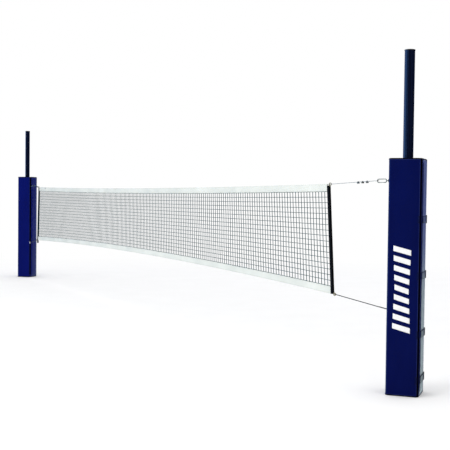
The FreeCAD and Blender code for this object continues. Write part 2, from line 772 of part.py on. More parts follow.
def clip_set(start, tip_x, tail):
    """Three clips over the doubled part of the cable."""
    towards = 1 if tip_x > start[0] else -1
    clips = []
    for share in CLIP_SHARES:
        back = tail * share
        clips.append(cable_clip(tip_x - towards * back, strand_z(back, start, tip_x, CABLE_Z)))
    return group(clips)


HOOK_BEND = HOOK_HEIGHT / 2 - HOOK_ROD_R
HOOK_NECK_R = 4.0
NOSE_LENGTH = 14.0
PIVOT_BACK = 10.0
EAR_INNER = 2.8
EAR_OUTER = 4.2
EAR_LONG = 7.0
EAR_TALL = 2.4
BRIDGE_START = 5.0
GATE_PIN_R = 1.4
GATE_KNUCKLE_R = 3.2
GATE_KNUCKLE_HALF = 2.6
GATE_R = 2.5


def hook_ends(x0, towards):
    """The centres of the hook's two bends."""
    near, far = HOOK_HEIGHT / 2, HOOK_LENGTH - HOOK_HEIGHT / 2
    return x0 + towards * near, x0 + towards * far


def gate_ears(pivot_x, low, towards):
    """Two plates and a bridge that carry the gate's pin."""
    pieces = [rod((pivot_x, -EAR_OUTER, low), (pivot_x, EAR_OUTER, low), GATE_PIN_R)]
    arm_x = sorted((pivot_x, pivot_x + towards * EAR_LONG))
    for side in (-1, 1):
        y0, y1 = sorted((side * EAR_INNER, side * EAR_OUTER))
        pieces.append(rod((pivot_x, y0, low), (pivot_x, y1, low), HOOK_ROD_R))
        pieces.append(box(*arm_x, y0, y1, low - EAR_TALL, low + EAR_TALL))
    bridge_x = sorted((pivot_x + towards * BRIDGE_START, pivot_x + towards * EAR_LONG))
    pieces.append(box(*bridge_x, -EAR_OUTER, EAR_OUTER, low - EAR_TALL, low + EAR_TALL))
    return pieces


def snap_hook(x0, towards):
    """An oblong hook in the XZ plane with a gap for its gate, and a flat eye at its tail."""
    z = CABLE_Z
    left, right = hook_ends(x0, towards)
    top, low = z + HOOK_BEND, z - HOOK_BEND
    pivot_x = right - towards * PIVOT_BACK
    eye_x = x0 + towards * (HOOK_LENGTH + HOOK_GAP + HOOK_EYE_R)
    neck_start = right + towards * HOOK_BEND
    neck_end = eye_x - towards * (HOOK_EYE_R + 0.5)
    pieces = [
        rod((left, 0, top), (right, 0, top), HOOK_ROD_R),
        rod((left, 0, low), (left + towards * NOSE_LENGTH, 0, low), HOOK_ROD_R),
        rod((right, 0, low), (pivot_x + towards * BRIDGE_START, 0, low), HOOK_ROD_R),
        rod((neck_start, 0, z), (neck_end, 0, z), HOOK_NECK_R),
        torus((eye_x, 0, z), Z_AXIS, HOOK_EYE_R, HOOK_EYE_ROD_R),
        torus((left, 0, z), Y_AXIS, HOOK_BEND, HOOK_ROD_R).common(half_space(left, -towards)),
        torus((right, 0, z), Y_AXIS, HOOK_BEND, HOOK_ROD_R).common(half_space(right, towards)),
    ]
    return join(pieces + gate_ears(pivot_x, low, towards))


def half_space(x, direction):
    """A block that holds everything of a hook on one side of x."""
    x0, x1 = sorted((x, x + direction * HOOK_LENGTH))
    reach = HOOK_LENGTH / 2
    return box(x0, x1, -reach, reach, CABLE_Z - reach, CABLE_Z + reach)


def hook_gate(x0, towards):
    """A bar that closes the hook's gap and turns on the pin between the ears."""
    low = CABLE_Z - HOOK_BEND
    left, right = hook_ends(x0, towards)
    tip_x = left + towards * (NOSE_LENGTH + 1.0)
    pivot_x = right - towards * PIVOT_BACK
    half = GATE_KNUCKLE_HALF
    knuckle = rod((pivot_x, -half, low), (pivot_x, half, low), GATE_KNUCKLE_R)
    bar = rod((tip_x, 0, low), (pivot_x, 0, low), GATE_R)
    hole = rod((pivot_x, -EAR_OUTER, low), (pivot_x, EAR_OUTER, low), GATE_PIN_R + BEARING_GAP)
    return join([knuckle, bar]).cut(hole)


WINCH_LINE_TAIL = 44.0
WINCH_LOOP_R = HOOK_EYE_ROD_R + WINCH_LINE_R + 3.9
FERRULE_R = 9.0
FERRULE_START = 38.0
FERRULE_LENGTH = 38.0


def winch_line():
    """The line from the drum to the hook, with an upright loop round the hook's eye."""
    rod_x = WINCH_HOOK_EYE_X - HOOK_EYE_R
    strand = WINCH_LINE_R + TAIL_GAP / 2
    points = loop_points(rod_x, 0, 1, WINCH_LOOP_R, strand)
    upright = [(x, 0, CABLE_Z + y) for x, y, _ in points]
    drum_end = (WINCH_X + DRUM_REACH, 0, CABLE_Z)
    tail_end = (rod_x - WINCH_LINE_TAIL, 0, CABLE_Z + 2 * strand)
    return chain([drum_end] + upright + [tail_end], WINCH_LINE_R)


def line_ferrule():
    """A sleeve pressed over the two strands of the winch line."""
    rod_x = WINCH_HOOK_EYE_X - HOOK_EYE_R
    middle = CABLE_Z + WINCH_LINE_R + TAIL_GAP / 2
    near = rod_x - FERRULE_START
    sleeve = rod((near - FERRULE_LENGTH, 0, middle), (near, 0, middle), FERRULE_R)
    return sleeve.cut(winch_line())


def corner_ring(x, z):
    return torus((x, 0, z), X_AXIS, RING_R, RING_ROD_R)


def corner_rings():
    """Brass rings that the cable and the cord pass through just outside the bands."""
    places = (
        (cable_in_hem()[-1], RING_OUT, ANCHOR_TIP_X, CABLE_Z),
        (cable_in_hem()[0], RING_OUT, WINCH_TIP_X, CABLE_Z),
        (cord_in_hem()[-1], CORD_RING_OUT, ANCHOR_CORD_TIP_X, CORD_Z),
        (cord_in_hem()[0], CORD_RING_OUT, WINCH_CORD_TIP_X, CORD_Z),
    )
    rings = []
    for start, out, tip_x, z in places:
        towards = 1 if tip_x > start[0] else -1
        x = start[0] + towards * out
        rings.append(corner_ring(x, strand_z(abs(tip_x - x), start, tip_x, z)))
    return group(rings)


# ---- all nodes ----------------------------------------------------------------------------------
def slider_nodes(name, z, reach, place):
    return {f"{name}_{key}": place(shape) for key, shape in plain_slider(z, reach).items()}


def pad_nodes(side):
    return {
        f"{side}_pad_cover": pad_cover(side),
        f"{side}_pad_foam": pad_foam(side),
        f"{side}_pad_binding": pad_binding(side),
        f"{side}_flap_cover": flap_cover(side),
        f"{side}_flap_foam": flap_foam(side),
        f"{side}_pad_straps": pad_group(strap, side),
        f"{side}_strap_buckles": pad_group(strap_buckle, side),
        f"{side}_hook_patches": pad_group(hook_patch, side),
    }


def all_nodes():
    nodes = {}
    for side, place in (("anchor", anchor_side), ("winch", winch_side)):
        nodes[f"{side}_post"] = place(post_tube())
        nodes[f"{side}_post_cap"] = place(post_cap())
        nodes[f"{side}_post_foot"] = place(post_foot())
        nodes.update(pad_nodes(side))
    nodes.update(slider_nodes("anchor_top", CABLE_Z, TOP_EYE_REACH, anchor_side))
    nodes.update(slider_nodes("anchor_low", CORD_Z, LOW_EYE_REACH, anchor_side))
    nodes.update(slider_nodes("winch_low", CORD_Z, LOW_EYE_REACH, winch_side))
    nodes["winch_top_saddle"] = winch_side(winch_saddle())
    nut = slot_nut(WINCH_SADDLE_Z, WINCH_NUT_HALF_HEIGHT, WINCH_KNOB_Z)
    nodes["winch_top_slot_nut"] = winch_side(nut)
    nodes["winch_top_knob"] = winch_side(clamp_knob(WINCH_KNOB_Z))
    nodes["winch_cheeks"] = winch_side(winch_cheeks())
    nodes["winch_drum"] = winch_side(winch_drum())
    nodes["winch_ratchet_wheel"] = winch_side(ratchet_wheel())
    nodes["winch_drum_wraps"] = winch_side(drum_wraps())
    nodes["winch_pawl"] = winch_side(winch_pawl())
    nodes["winch_line"] = winch_line()
    nodes["winch_line_ferrule"] = line_ferrule()
    nodes["net_mesh"] = net_mesh()
    nodes["net_top_tape"] = top_tape()
    nodes["net_bottom_tape"] = bottom_tape()
    nodes["anchor_end_band"] = end_band(anchor_edge, ANCHOR_BAND_LOW, NET_ANCHOR_LOW_X)
    nodes["winch_end_band"] = end_band(winch_edge, WINCH_BAND_LOW, NET_WINCH_LOW_X)
    nodes["anchor_end_dowel"] = end_dowel(anchor_edge, NET_ANCHOR_LOW_X)
    nodes["winch_end_dowel"] = end_dowel(winch_edge, NET_WINCH_LOW_X)
    nodes["top_cable"] = top_cable()
    nodes["bottom_cord"] = bottom_cord()
    nodes["anchor_cable_clips"] = clip_set(cable_in_hem()[-1], ANCHOR_TIP_X, ANCHOR_TAIL)
    nodes["winch_cable_clips"] = clip_set(cable_in_hem()[0], WINCH_TIP_X, WINCH_TAIL)
    nodes["anchor_snap_hook"] = snap_hook(ANCHOR_HOOK_X, 1)
    nodes["winch_snap_hook"] = snap_hook(WINCH_HOOK_X, -1)
    nodes["anchor_hook_gate"] = hook_gate(ANCHOR_HOOK_X, 1)
    nodes["winch_hook_gate"] = hook_gate(WINCH_HOOK_X, -1)
    nodes["net_corner_rings"] = corner_rings()
    return nodes


os.makedirs("parts", exist_ok=True)
for name, shape in all_nodes().items():
    shape.exportStep(f"parts/{name}.step")
    print(name, len(shape.Solids), "solids", round(shape.Volume / 1000.0, 2), "cm3", shape.isValid())
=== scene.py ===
# Looks of a volleyball net on two padded posts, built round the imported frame. Metres.
import math

import bmesh
import bpy
from mathutils import Matrix, Vector, noise
from mathutils.bvhtree import BVHTree


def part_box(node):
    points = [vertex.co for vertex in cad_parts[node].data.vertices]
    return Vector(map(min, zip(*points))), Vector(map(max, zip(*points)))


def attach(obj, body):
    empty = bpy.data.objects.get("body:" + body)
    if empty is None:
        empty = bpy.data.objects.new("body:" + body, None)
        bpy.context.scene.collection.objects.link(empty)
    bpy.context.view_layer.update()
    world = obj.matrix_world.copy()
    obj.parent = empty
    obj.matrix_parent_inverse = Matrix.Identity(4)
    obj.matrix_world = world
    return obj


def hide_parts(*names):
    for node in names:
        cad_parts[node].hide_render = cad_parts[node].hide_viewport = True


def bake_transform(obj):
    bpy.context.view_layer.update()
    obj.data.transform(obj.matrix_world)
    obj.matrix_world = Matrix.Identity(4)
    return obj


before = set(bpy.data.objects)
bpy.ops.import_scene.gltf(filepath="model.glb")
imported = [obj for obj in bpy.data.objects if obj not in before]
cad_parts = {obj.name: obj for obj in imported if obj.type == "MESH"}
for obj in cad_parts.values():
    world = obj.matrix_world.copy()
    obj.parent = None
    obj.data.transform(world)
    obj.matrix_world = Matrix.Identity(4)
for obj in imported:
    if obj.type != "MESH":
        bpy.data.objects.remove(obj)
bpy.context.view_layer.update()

SIDES = ("anchor", "winch")
MM = 0.001
# Blender's noise vectors are offset by a seed, which is the time of day unless it is set.
noise.seed_set(7)


# ---- places, read from the frame ----
def middle(node):
    low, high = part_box(node)
    return (low + high) / 2


def low_of(node):
    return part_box(node)[0]


def high_of(node):
    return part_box(node)[1]


POST_X = {side: middle(f"{side}_post_cap").x for side in SIDES}
PAD_TOP = high_of("anchor_flap_cover").z
PAD_HALF = 128 * MM
PAD_WALL = 35 * MM
PAD_INNER = PAD_HALF - PAD_WALL
STRAP_Z = (130 * MM, 480 * MM, 930 * MM, 1360 * MM)
STRAP_TALL = 50 * MM
PAD_TURNS = {"anchor": 180 - 2.7, "winch": 4.0}


def pad_frame(side):
    """From the pad's own square frame, with its flap towards -X, to its place round the post."""
    seat = Matrix.Translation((POST_X[side], 0, 0))
    turn = Matrix.Rotation(math.radians(PAD_TURNS[side]), 4, "Z")
    mirror = Matrix.Diagonal((1, 1 if side == "anchor" else -1, 1, 1))
    return seat @ turn @ mirror @ Matrix.Rotation(math.pi / 4, 4, "Z")


# ---- the net's outline ----
NET_TOP = 1640 * MM
NET_LOW = 674 * MM
TOP_SAG = 29 * MM
LOW_RISE = 86 * MM
LOW_CREST_X = -600 * MM
TOP_ENDS = (-4720 * MM, 4404 * MM)
LOW_ENDS = (-4788 * MM, 4490 * MM)
TAPE = 66 * MM
BAND = 38 * MM


def top_edge(x):
    mid, half = (TOP_ENDS[0] + TOP_ENDS[1]) / 2, (TOP_ENDS[1] - TOP_ENDS[0]) / 2
    return NET_TOP - TOP_SAG * (1 - ((x - mid) / half) ** 2)


def low_edge(x):
    half = LOW_ENDS[1] - LOW_CREST_X
    return NET_LOW + LOW_RISE * (1 - ((x - LOW_CREST_X) / half) ** 2)


def end_x(end, z):
    """X of an end band's centre line; end 0 is the winch end, 1 the anchor end."""
    share = (NET_TOP - z) / (NET_TOP - NET_LOW)
    return TOP_ENDS[end] + share * (LOW_ENDS[end] - TOP_ENDS[end])


# ---- mesh helpers ----
def new_object(name, verts, faces, material):
    mesh = bpy.data.meshes.new(name)
    mesh.from_pydata([tuple(v) for v in verts], [], faces)
    mesh.shade_smooth()
    mesh.materials.append(material)
    obj = bpy.data.objects.new(name, mesh)
    bpy.context.scene.collection.objects.link(obj)
    return obj


def closed_object(name, verts, faces, material):
    """A new object whose closed surface is made to face outwards."""
    obj = new_object(name, verts, faces, material)
    bm = bmesh.new()
    bm.from_mesh(obj.data)
    bmesh.ops.recalc_face_normals(bm, faces=bm.faces)
    bm.to_mesh(obj.data)
    bm.free()
    return obj


def place(obj, body, slot, *nodes):
    """Puts a finished piece on its body and hides the CAD nodes it stands for."""
    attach(obj, body)
    if nodes:
        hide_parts(*nodes)
    return obj


def lerp(a, b, share):
    return a + (b - a) * share


def circle(radius, sides):
    turn = 2 * math.pi / sides
    return [(radius * math.cos(turn * i), radius * math.sin(turn * i)) for i in range(sides)]


def tube_faces(count, sides, loop=False):
    """Faces of a tube of count rings, capped at both ends unless it closes on itself."""
    faces = []
    for i in range(count if loop else count - 1):
        here, there = i * sides, (i + 1) % count * sides
        for k in range(sides):
            n = (k + 1) % sides
            faces.append((here + k, here + n, there + n, there + k))
    if not loop:
        faces.append(tuple(range(sides - 1, -1, -1)))
        faces.append(tuple(range((count - 1) * sides, count * sides)))
    return faces


def sweep(path, section, up=(0, 0, 1), loop=False):
    """Vertices and faces of a section carried along a path. section is a list of (side, up) offsets, or a
    function of the step that gives one."""
    path = [Vector(p) for p in path]
    up = Vector(up)
    count = len(path)
    verts = []
    for i, point in enumerate(path):
        before = path[i - 1] if i or loop else point
        after = path[(i + 1) % count] if i + 1 < count or loop else point
        along = (after - before).normalized()
        side = along.cross(up).normalized()
        up = side.cross(along).normalized()
        offsets = section(i) if callable(section) else section
        verts += [point + side * a + up * b for a, b in offsets]
    return verts, tube_faces(count, len(verts) // count, loop)


def merge(parts):
    """One list of vertices and one of faces from several parts."""
    verts, faces = [], []
    for part_verts, part_faces in parts:
        base = len(verts)
        verts += part_verts
        faces += [tuple(base + i for i in face) for face in part_faces]
    return verts, faces


def resampled(points, step):
    """Points a fixed step apart along a polyline."""
    points = [Vector(p) for p in points]
    out, left = [points[0]], step
    for a, b in zip(points, points[1:]):
        length = (b - a).length
        while left <= length:
            out.append(a.lerp(b, left / length))
            left += step
        left -= length
    out.append(points[-1])
    return out


def cut_corners(points, passes=2):
    """A smoother polyline with the same ends."""
    points = [Vector(p) for p in points]
    for _ in range(passes):
        inner = []
        for a, b in zip(points, points[1:]):
            inner += [a.lerp(b, 0.25), a.lerp(b, 0.75)]
        points = [points[0]] + inner[1:-1] + [points[-1]]
    return points


STEPS_PER_TURN = 8
STRAND_PRESS = 1.03


def twisted(path, radius, strands, pitch, sides=5):
    """Strands laid round a core along a path, as in a wire rope or a laid cord."""
    share = math.sin(math.pi / strands)
    strand_r = radius * share / (1 + share)
    lay_r = radius - strand_r
    path = resampled(path, pitch / STEPS_PER_TURN)
    turn = 2 * math.pi / STEPS_PER_TURN
    parts = []
    for strand in range(strands):
        start = 2 * math.pi * strand / strands

        def section(i):
            angle = start + turn * i
            middle_a, middle_b = lay_r * math.cos(angle), lay_r * math.sin(angle)
            return [(middle_a + a, middle_b + b) for a, b in circle(strand_r * STRAND_PRESS, sides)]

        parts.append(sweep(path, section))
    return merge(parts)


def border_loop(columns, rows, inset=0):
    """The (column, row) places round a grid, on its border or some cells in from it."""
    last_i, last_j = columns - 1 - inset, rows - 1 - inset
    loop = [(i, inset) for i in range(inset, last_i)]
    loop += [(last_i, j) for j in range(inset, last_j)]
    loop += [(i, last_j) for i in range(last_i, inset, -1)]
    return loop + [(inset, j) for j in range(last_j, inset, -1)]


def thick_grid(outer, inner):
    """A closed sheet between two grids of points with the same rows and columns."""
    columns, rows = len(outer), len(outer[0])
    verts = [Vector(p) for grid in (outer, inner) for column in grid for p in column]
    base = columns * rows
    faces = []
    for i in range(columns - 1):
        for j in range(rows - 1):
            a = i * rows + j
            faces.append((a, a + rows, a + rows + 1, a + 1))
            faces.append((base + a, base + a + 1, base + a + rows + 1, base + a + rows))
    border = [i * rows + j for i, j in border_loop(columns, rows)]
    for a, b in zip(border, border[1:] + border[:1]):
        faces.append((b, a, base + a, base + b))
    return verts, faces


def rounded_box_section(width, thick, radius, steps=3):
    """A flat section with round corners, as (side, up) offsets."""
    out = []
    for quarter in range(4):
        sx = (1, -1, -1, 1)[quarter]
        sy = (1, 1, -1, -1)[quarter]
        for step in range(steps):
            angle = math.pi / 2 * (quarter + step / (steps - 1))
            out.append((
                sx * (width / 2 - radius) + radius * math.cos(angle),
                sy * (thick / 2 - radius) + radius * math.sin(angle),
            ))
    return out


# ---- materials ----
def colour_sockets(sockets):
    return [socket for socket in sockets if socket.type == "RGBA"]


class Nodes:
    """A node tree under construction."""

    def __init__(self, tree):
        self.tree = tree

    def add(self, kind, sockets=None, **settings):
        """A new node. Each of its named sockets is given a value, or linked to another node's output."""
        node = self.tree.nodes.new(kind)
        for key, value in settings.items():
            setattr(node, key, value)
        for socket, value in (sockets or {}).items():
            if isinstance(value, bpy.types.NodeSocket):
                self.link(value, node, socket)
            else:
                node.inputs[socket].default_value = value
        return node

    def link(self, output, node, socket):
        self.tree.links.new(output, node.inputs[socket])

    def mix(self, factor, first, second):
        """A colour between two, each given as a colour or as a socket."""
        node = self.add("ShaderNodeMix", {"Factor": factor}, data_type="RGBA")
        for socket, colour in zip(colour_sockets(node.inputs), (first, second)):
            if isinstance(colour, tuple):
                socket.default_value = (*colour, 1.0)
            else:
                self.tree.links.new(colour, socket)
        return colour_sockets(node.outputs)[0]

    def between(self, value, low, high, **settings):
        """0 to 1 as a value goes from low to high."""
        sockets = {"Value": value, "From Min": low, "From Max": high}
        return self.add("ShaderNodeMapRange", sockets, **settings).outputs["Result"]


# Blender's wave texture at scale 1 turns through this many radians in a metre.
WAVES_PER_UNIT = 20


class Finish(Nodes):
    """A procedural material under construction, on coordinates in metres."""

    def __init__(self, name, colour, roughness, metallic=0.0):
        self.material = bpy.data.materials.new(name)
        self.material.use_nodes = True
        super().__init__(self.material.node_tree)
        self.shader = self.tree.nodes["Principled BSDF"]
        self.value("Base Color", (*colour, 1.0))
        self.value("Roughness", roughness)
        self.value("Metallic", metallic)
        self.where = self.add("ShaderNodeTexCoord").outputs["Object"]
        self.last_bump = None

    def value(self, socket, value):
        self.shader.inputs[socket].default_value = value

    def stretched(self, stretch):
        return self.add("ShaderNodeMapping", {"Scale": stretch, "Vector": self.where}).outputs["Vector"]

    def noise(self, scale, detail=3.0, stretch=(1, 1, 1)):
        sockets = {"Scale": scale, "Detail": detail, "Vector": self.stretched(stretch)}
        return self.add("ShaderNodeTexNoise", sockets).outputs["Fac"]

    def cells(self, scale):
        sockets = {"Scale": scale, "Vector": self.stretched((1, 1, 1))}
        return self.add("ShaderNodeTexVoronoi", sockets).outputs["Distance"]

    def bands(self, pitch, axis, distortion=0.0):
        """Ridges a fixed pitch apart along X, Y, Z or DIAGONAL."""
        scale = 2 * math.pi / pitch / WAVES_PER_UNIT
        sockets = {"Scale": scale, "Distortion": distortion, "Vector": self.where}
        return self.add("ShaderNodeTexWave", sockets, bands_direction=axis).outputs["Fac"]

    def maths(self, operation, a, b=0.5):
        return self.add("ShaderNodeMath", {0: a, 1: b}, operation=operation).outputs[0]

    def colours(self, fac, dark, light, low=0.3, high=0.7):
        node = self.add("ShaderNodeValToRGB", {"Fac": fac})
        for element, spot, colour in zip(node.color_ramp.elements, (low, high), (dark, light)):
            element.position = spot
            element.color = (*colour, 1.0)
        self.link(node.outputs["Color"], self.shader, "Base Color")

    def mixed(self, mask, colour):
        """Lays a second colour over the linked base colour where the mask is 1."""
        base = self.shader.inputs["Base Color"]
        under = base.links[0].from_socket
        self.tree.links.new(self.mix(mask, under, colour), base)

    def roughness(self, fac, low, high):
        node = self.add("ShaderNodeMapRange", {"Value": fac, "To Min": low, "To Max": high})
        self.link(node.outputs["Result"], self.shader, "Roughness")

    def bump(self, height, distance, strength=1.0):
        sockets = {"Height": height, "Distance": distance, "Strength": strength}
        if self.last_bump:
            sockets["Normal"] = self.last_bump
        self.last_bump = self.add("ShaderNodeBump", sockets).outputs["Normal"]
        self.link(self.last_bump, self.shader, "Normal")


def vinyl(name, dark, light, roughness=0.3):
    """Coated cloth: a fine leather grain over slow waves from the foam behind it."""
    finish = Finish(name, dark, roughness)
    finish.colours(finish.noise(5.0, 4.0, (1, 1, 0.4)), dark, light)
    finish.roughness(finish.noise(40.0, 5.0), roughness - 0.06, roughness + 0.08)
    finish.bump(finish.noise(9.0, 2.0, (1, 1, 0.35)), 1.6 * MM, 0.3)
    finish.bump(finish.cells(700.0), 0.05 * MM, 0.35)
    finish.value("Specular IOR Level", 0.1)
    return finish.material


def webbing(name, dark, light, pitch=2.2 * MM):
    """Woven tape: ribs across it, broken up into picks."""
    finish = Finish(name, dark, 0.75)
    weave = finish.maths("MULTIPLY", finish.bands(pitch, "Z"), finish.bands(pitch * 0.8, "DIAGONAL", 0.4))
    finish.colours(weave, dark, light, 0.1, 0.8)
    finish.bump(weave, 0.4 * MM, 0.8)
    finish.value("Specular IOR Level", 0.06)
    return finish.material


def moulded(name, dark, light, roughness=0.45):
    """Moulded plastic or rubber with a fine spark-eroded texture."""
    finish = Finish(name, dark, roughness)
    finish.colours(finish.noise(30.0, 4.0), dark, light)
    finish.roughness(finish.noise(90.0), roughness - 0.08, roughness + 0.1)
    finish.bump(finish.noise(1500.0, 2.0), 0.05 * MM, 0.6)
    return finish.material


def metal(name, dark, light, roughness):
    """Bare or plated metal, a little uneven in its colour and its polish."""
    finish = Finish(name, light, roughness, 1.0)
    finish.colours(finish.noise(60.0, 5.0), dark, light)
    finish.roughness(finish.noise(120.0, 6.0), roughness * 0.7, roughness * 1.4)
    finish.bump(finish.noise(400.0, 3.0), 0.03 * MM, 0.5)
    return finish.material


def painted_post():
    """Anodised extrusion: fine draw lines down its length, over slow changes of shade."""
    finish = Finish("post_blue", (0.002, 0.004, 0.03), 0.3)
    streaks = finish.noise(90.0, 4.0, (1, 1, 0.01))
    finish.colours(streaks, (0.0004, 0.002, 0.014), (0.002, 0.007, 0.036))
    finish.roughness(finish.noise(60.0, 5.0, (1, 1, 0.05)), 0.22, 0.42)
    finish.bump(streaks, 0.1 * MM, 0.5)
    finish.value("Metallic", 0.3)
    finish.value("Specular IOR Level", 0.3)
    return finish.material


STITCH_ROWS = (7 * MM, 57 * MM)
STITCH_PITCH = 7 * MM
THREAD_HALF = 0.8 * MM


def tape_canvas():
    """White coated canvas with two rows of lock stitches; 'across' is the distance from the fold."""
    finish = Finish("tape_canvas", (0.7, 0.73, 0.72), 0.6)
    finish.colours(finish.noise(3.0, 5.0), (0.60, 0.635, 0.61), (0.70, 0.73, 0.70), 0.35, 0.65)
    finish.value("Specular IOR Level", 0.1)
    weave = finish.maths("MULTIPLY", finish.bands(1.2 * MM, "X"), finish.bands(1.2 * MM, "Z"))
    across = finish.add("ShaderNodeAttribute", attribute_name="across").outputs["Fac"]
    on_rows = []
    for row in STITCH_ROWS:
        gap = finish.maths("ABSOLUTE", finish.maths("SUBTRACT", across, row))
        on_rows.append(finish.maths("LESS_THAN", gap, THREAD_HALF))
    near_row = finish.maths("MAXIMUM", *on_rows)
    dash = finish.maths("GREATER_THAN", finish.bands(STITCH_PITCH, "X"), 0.3)
    stitches = finish.maths("MULTIPLY", near_row, dash)
    finish.mixed(finish.maths("MULTIPLY", stitches, 0.5), (0.45, 0.47, 0.45))
    finish.bump(weave, 0.15 * MM, 0.5)
    finish.bump(stitches, 0.5 * MM, 0.8)
    return finish.material


def cord_finish(name, dark, light):
    """Twisted fibre cord."""
    finish = Finish(name, dark, 0.7)
    finish.colours(finish.noise(400.0, 3.0), dark, light)
    finish.bump(finish.bands(3 * MM, "DIAGONAL", 1.0), 0.3 * MM, 0.6)
    return finish.material


NAVY_DARK = (0.0, 0.0022, 0.050)
NAVY_LIGHT = (0.0, 0.0030, 0.064)
# The winch pad's vinyl is the anchor pad's navy painted lighter: painted light for the stronger light on
# the far pad.
PAINTED_LIT_NAVY_DARK = (0.0, 0.0030, 0.095)
PAINTED_LIT_NAVY_LIGHT = (0.0002, 0.0040, 0.120)
BLACK = (0.006, 0.006, 0.008)
SOFT_BLACK = (0.022, 0.022, 0.026)

LOOK = {
    "post": painted_post(),
    "anchor_vinyl": vinyl("anchor_pad_vinyl", NAVY_DARK, NAVY_LIGHT),
    # Painted light: the winch pad's vinyl is a lighter copy of the anchor pad's navy.
    "winch_vinyl": vinyl("winch_pad_vinyl", PAINTED_LIT_NAVY_DARK, PAINTED_LIT_NAVY_LIGHT),
    "piping": vinyl("pad_piping", (0.010, 0.016, 0.10), (0.018, 0.030, 0.15), 0.35),
    "edge_tape": webbing("pad_edge_tape", (0.0004, 0.0006, 0.005), (0.0012, 0.0018, 0.012)),
    "print": moulded("pad_print", (0.78, 0.78, 0.78), (0.86, 0.86, 0.86), 0.4),
    "strap": vinyl("strap_web", (0.0006, 0.002, 0.03), (0.002, 0.006, 0.06), 0.35),
    # Black for the cords along the straps' edges: partly a binding, partly painted shade along the strap
    # edges.
    "strap_binding_and_shade": webbing("strap_binding_and_shade", BLACK, SOFT_BLACK, 1.6 * MM),
    "thread": cord_finish("sewing_thread", (0.02, 0.03, 0.12), (0.05, 0.07, 0.2)),
    "buckle": moulded("buckle_plastic", BLACK, SOFT_BLACK, 0.35),
    "hook_loop": webbing("hook_loop", BLACK, SOFT_BLACK, 1.4 * MM),
    "cap": moulded("cap_plastic", BLACK, SOFT_BLACK),
    "rubber": moulded("foot_rubber", BLACK, SOFT_BLACK, 0.7),
    "saddle": metal("saddle_metal", (0.35, 0.36, 0.38), (0.55, 0.56, 0.58), 0.35),
    "nut": metal("nut_steel", (0.3, 0.3, 0.31), (0.5, 0.5, 0.52), 0.4),
    "eye_black": metal("eye_black", (0.01, 0.01, 0.012), (0.03, 0.03, 0.035), 0.35),
    # The winch pad's low eye is steel; its near-white colour is a painted highlight for the glint on it.
    "eye_steel": moulded("eye_steel", (0.7, 0.7, 0.7), (0.85, 0.85, 0.86), 0.3),
    "knob": moulded("knob_plastic", BLACK, SOFT_BLACK, 0.4),
    "winch": metal("winch_steel", (0.4, 0.41, 0.44), (0.66, 0.67, 0.7), 0.3),
    "line": metal("line_steel", (0.16, 0.155, 0.13), (0.36, 0.35, 0.31), 0.45),
    "clip": metal("clip_steel", (0.10, 0.09, 0.06), (0.22, 0.20, 0.15), 0.5),
    "chrome": metal("hook_chrome", (0.10, 0.085, 0.045), (0.22, 0.19, 0.12), 0.35),
    "mesh_cord": cord_finish("mesh_cord", (0.002, 0.036, 0.036), (0.006, 0.062, 0.062)),
    "tape": tape_canvas(),
    "band": webbing("band_web", (0.0012, 0.0012, 0.0016), (0.006, 0.006, 0.007)),
    "dowel": moulded("dowel_glass", (0.55, 0.5, 0.36), (0.7, 0.66, 0.5), 0.35),
    "bottom_cord": cord_finish("cord_black", (0.005, 0.005, 0.005), (0.02, 0.02, 0.019)),
    "tie": cord_finish("tie_cord", (0.22, 0.20, 0.10), (0.45, 0.42, 0.26)),
    "brass": metal("ring_brass", (0.42, 0.27, 0.08), (0.7, 0.5, 0.2), 0.3),
}

SLIDERS = ("anchor_top", "anchor_low", "winch_low", "winch_top")
CAD_LOOKS = {
    "post": [f"{side}_post" for side in SIDES],
    "cap": [f"{side}_post_cap" for side in SIDES],
    "rubber": [f"{side}_post_foot" for side in SIDES],
    "saddle": [f"{slider}_saddle" for slider in SLIDERS],
    "nut": [f"{slider}_slot_nut" for slider in SLIDERS],
    "knob": [f"{slider}_knob" for slider in SLIDERS],
    "eye_black": ["anchor_top_eye", "anchor_low_eye"],
    # Painted highlight: the winch low eye is coloured near white to stand in for its glint.
    "eye_steel": ["winch_low_eye"],
    "winch": ["winch_cheeks", "winch_drum", "winch_ratchet_wheel", "winch_pawl"],
    "line": ["winch_drum_wraps"],
    "clip": [f"{side}_cable_clips" for side in SIDES] + ["winch_line_ferrule"],
    "chrome": [f"{side}_{part}" for side in SIDES for part in ("snap_hook", "hook_gate")],
    "dowel": [f"{side}_end_dowel" for side in SIDES],
    "brass": ["net_corner_rings"],
}


def dress_cad_nodes():
    for look, nodes in CAD_LOOKS.items():
        for node in nodes:
            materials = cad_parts[node].data.materials
            materials.clear()
            materials.append(LOOK[look])


# ---- pads ----
EDGE_TAPE = 7 * MM
PAD_CELL = 16 * MM
RIM = 5 * MM
RIM_STEPS = 5
CORNER_BEND = 16 * MM
INNER_BEND = 4 * MM
SLIT_BACK = 11 * MM
FLAP_LIP = 3 * MM
SLIT_FLOOR = 50 * MM


def spread(length, cell, border):
    """Distances along a strip: a border cell at each end, and even cells between."""
    count = max(1, round((length - 2 * border) / cell))
    step = (length - 2 * border) / count
    return [0.0] + [border + step * i for i in range(count + 1)] + [length]


def along_path(points, distances):
    """Points of a polyline at the given shares of its length times the last distance."""
    points = [Vector(p) for p in points]
    lengths = [0.0]
    for a, b in zip(points, points[1:]):
        lengths.append(lengths[-1] + (b - a).length)
    out = []
    for distance in distances:
        want = distance / distances[-1] * lengths[-1]
        k = max(i for i in range(len(lengths) - 1) if lengths[i] <= want + 1e-9)
        share = (want - lengths[k]) / (lengths[k + 1] - lengths[k])
        out.append(points[k].lerp(points[k + 1], min(1.0, share)))
    return out


ARC_STEPS = 5


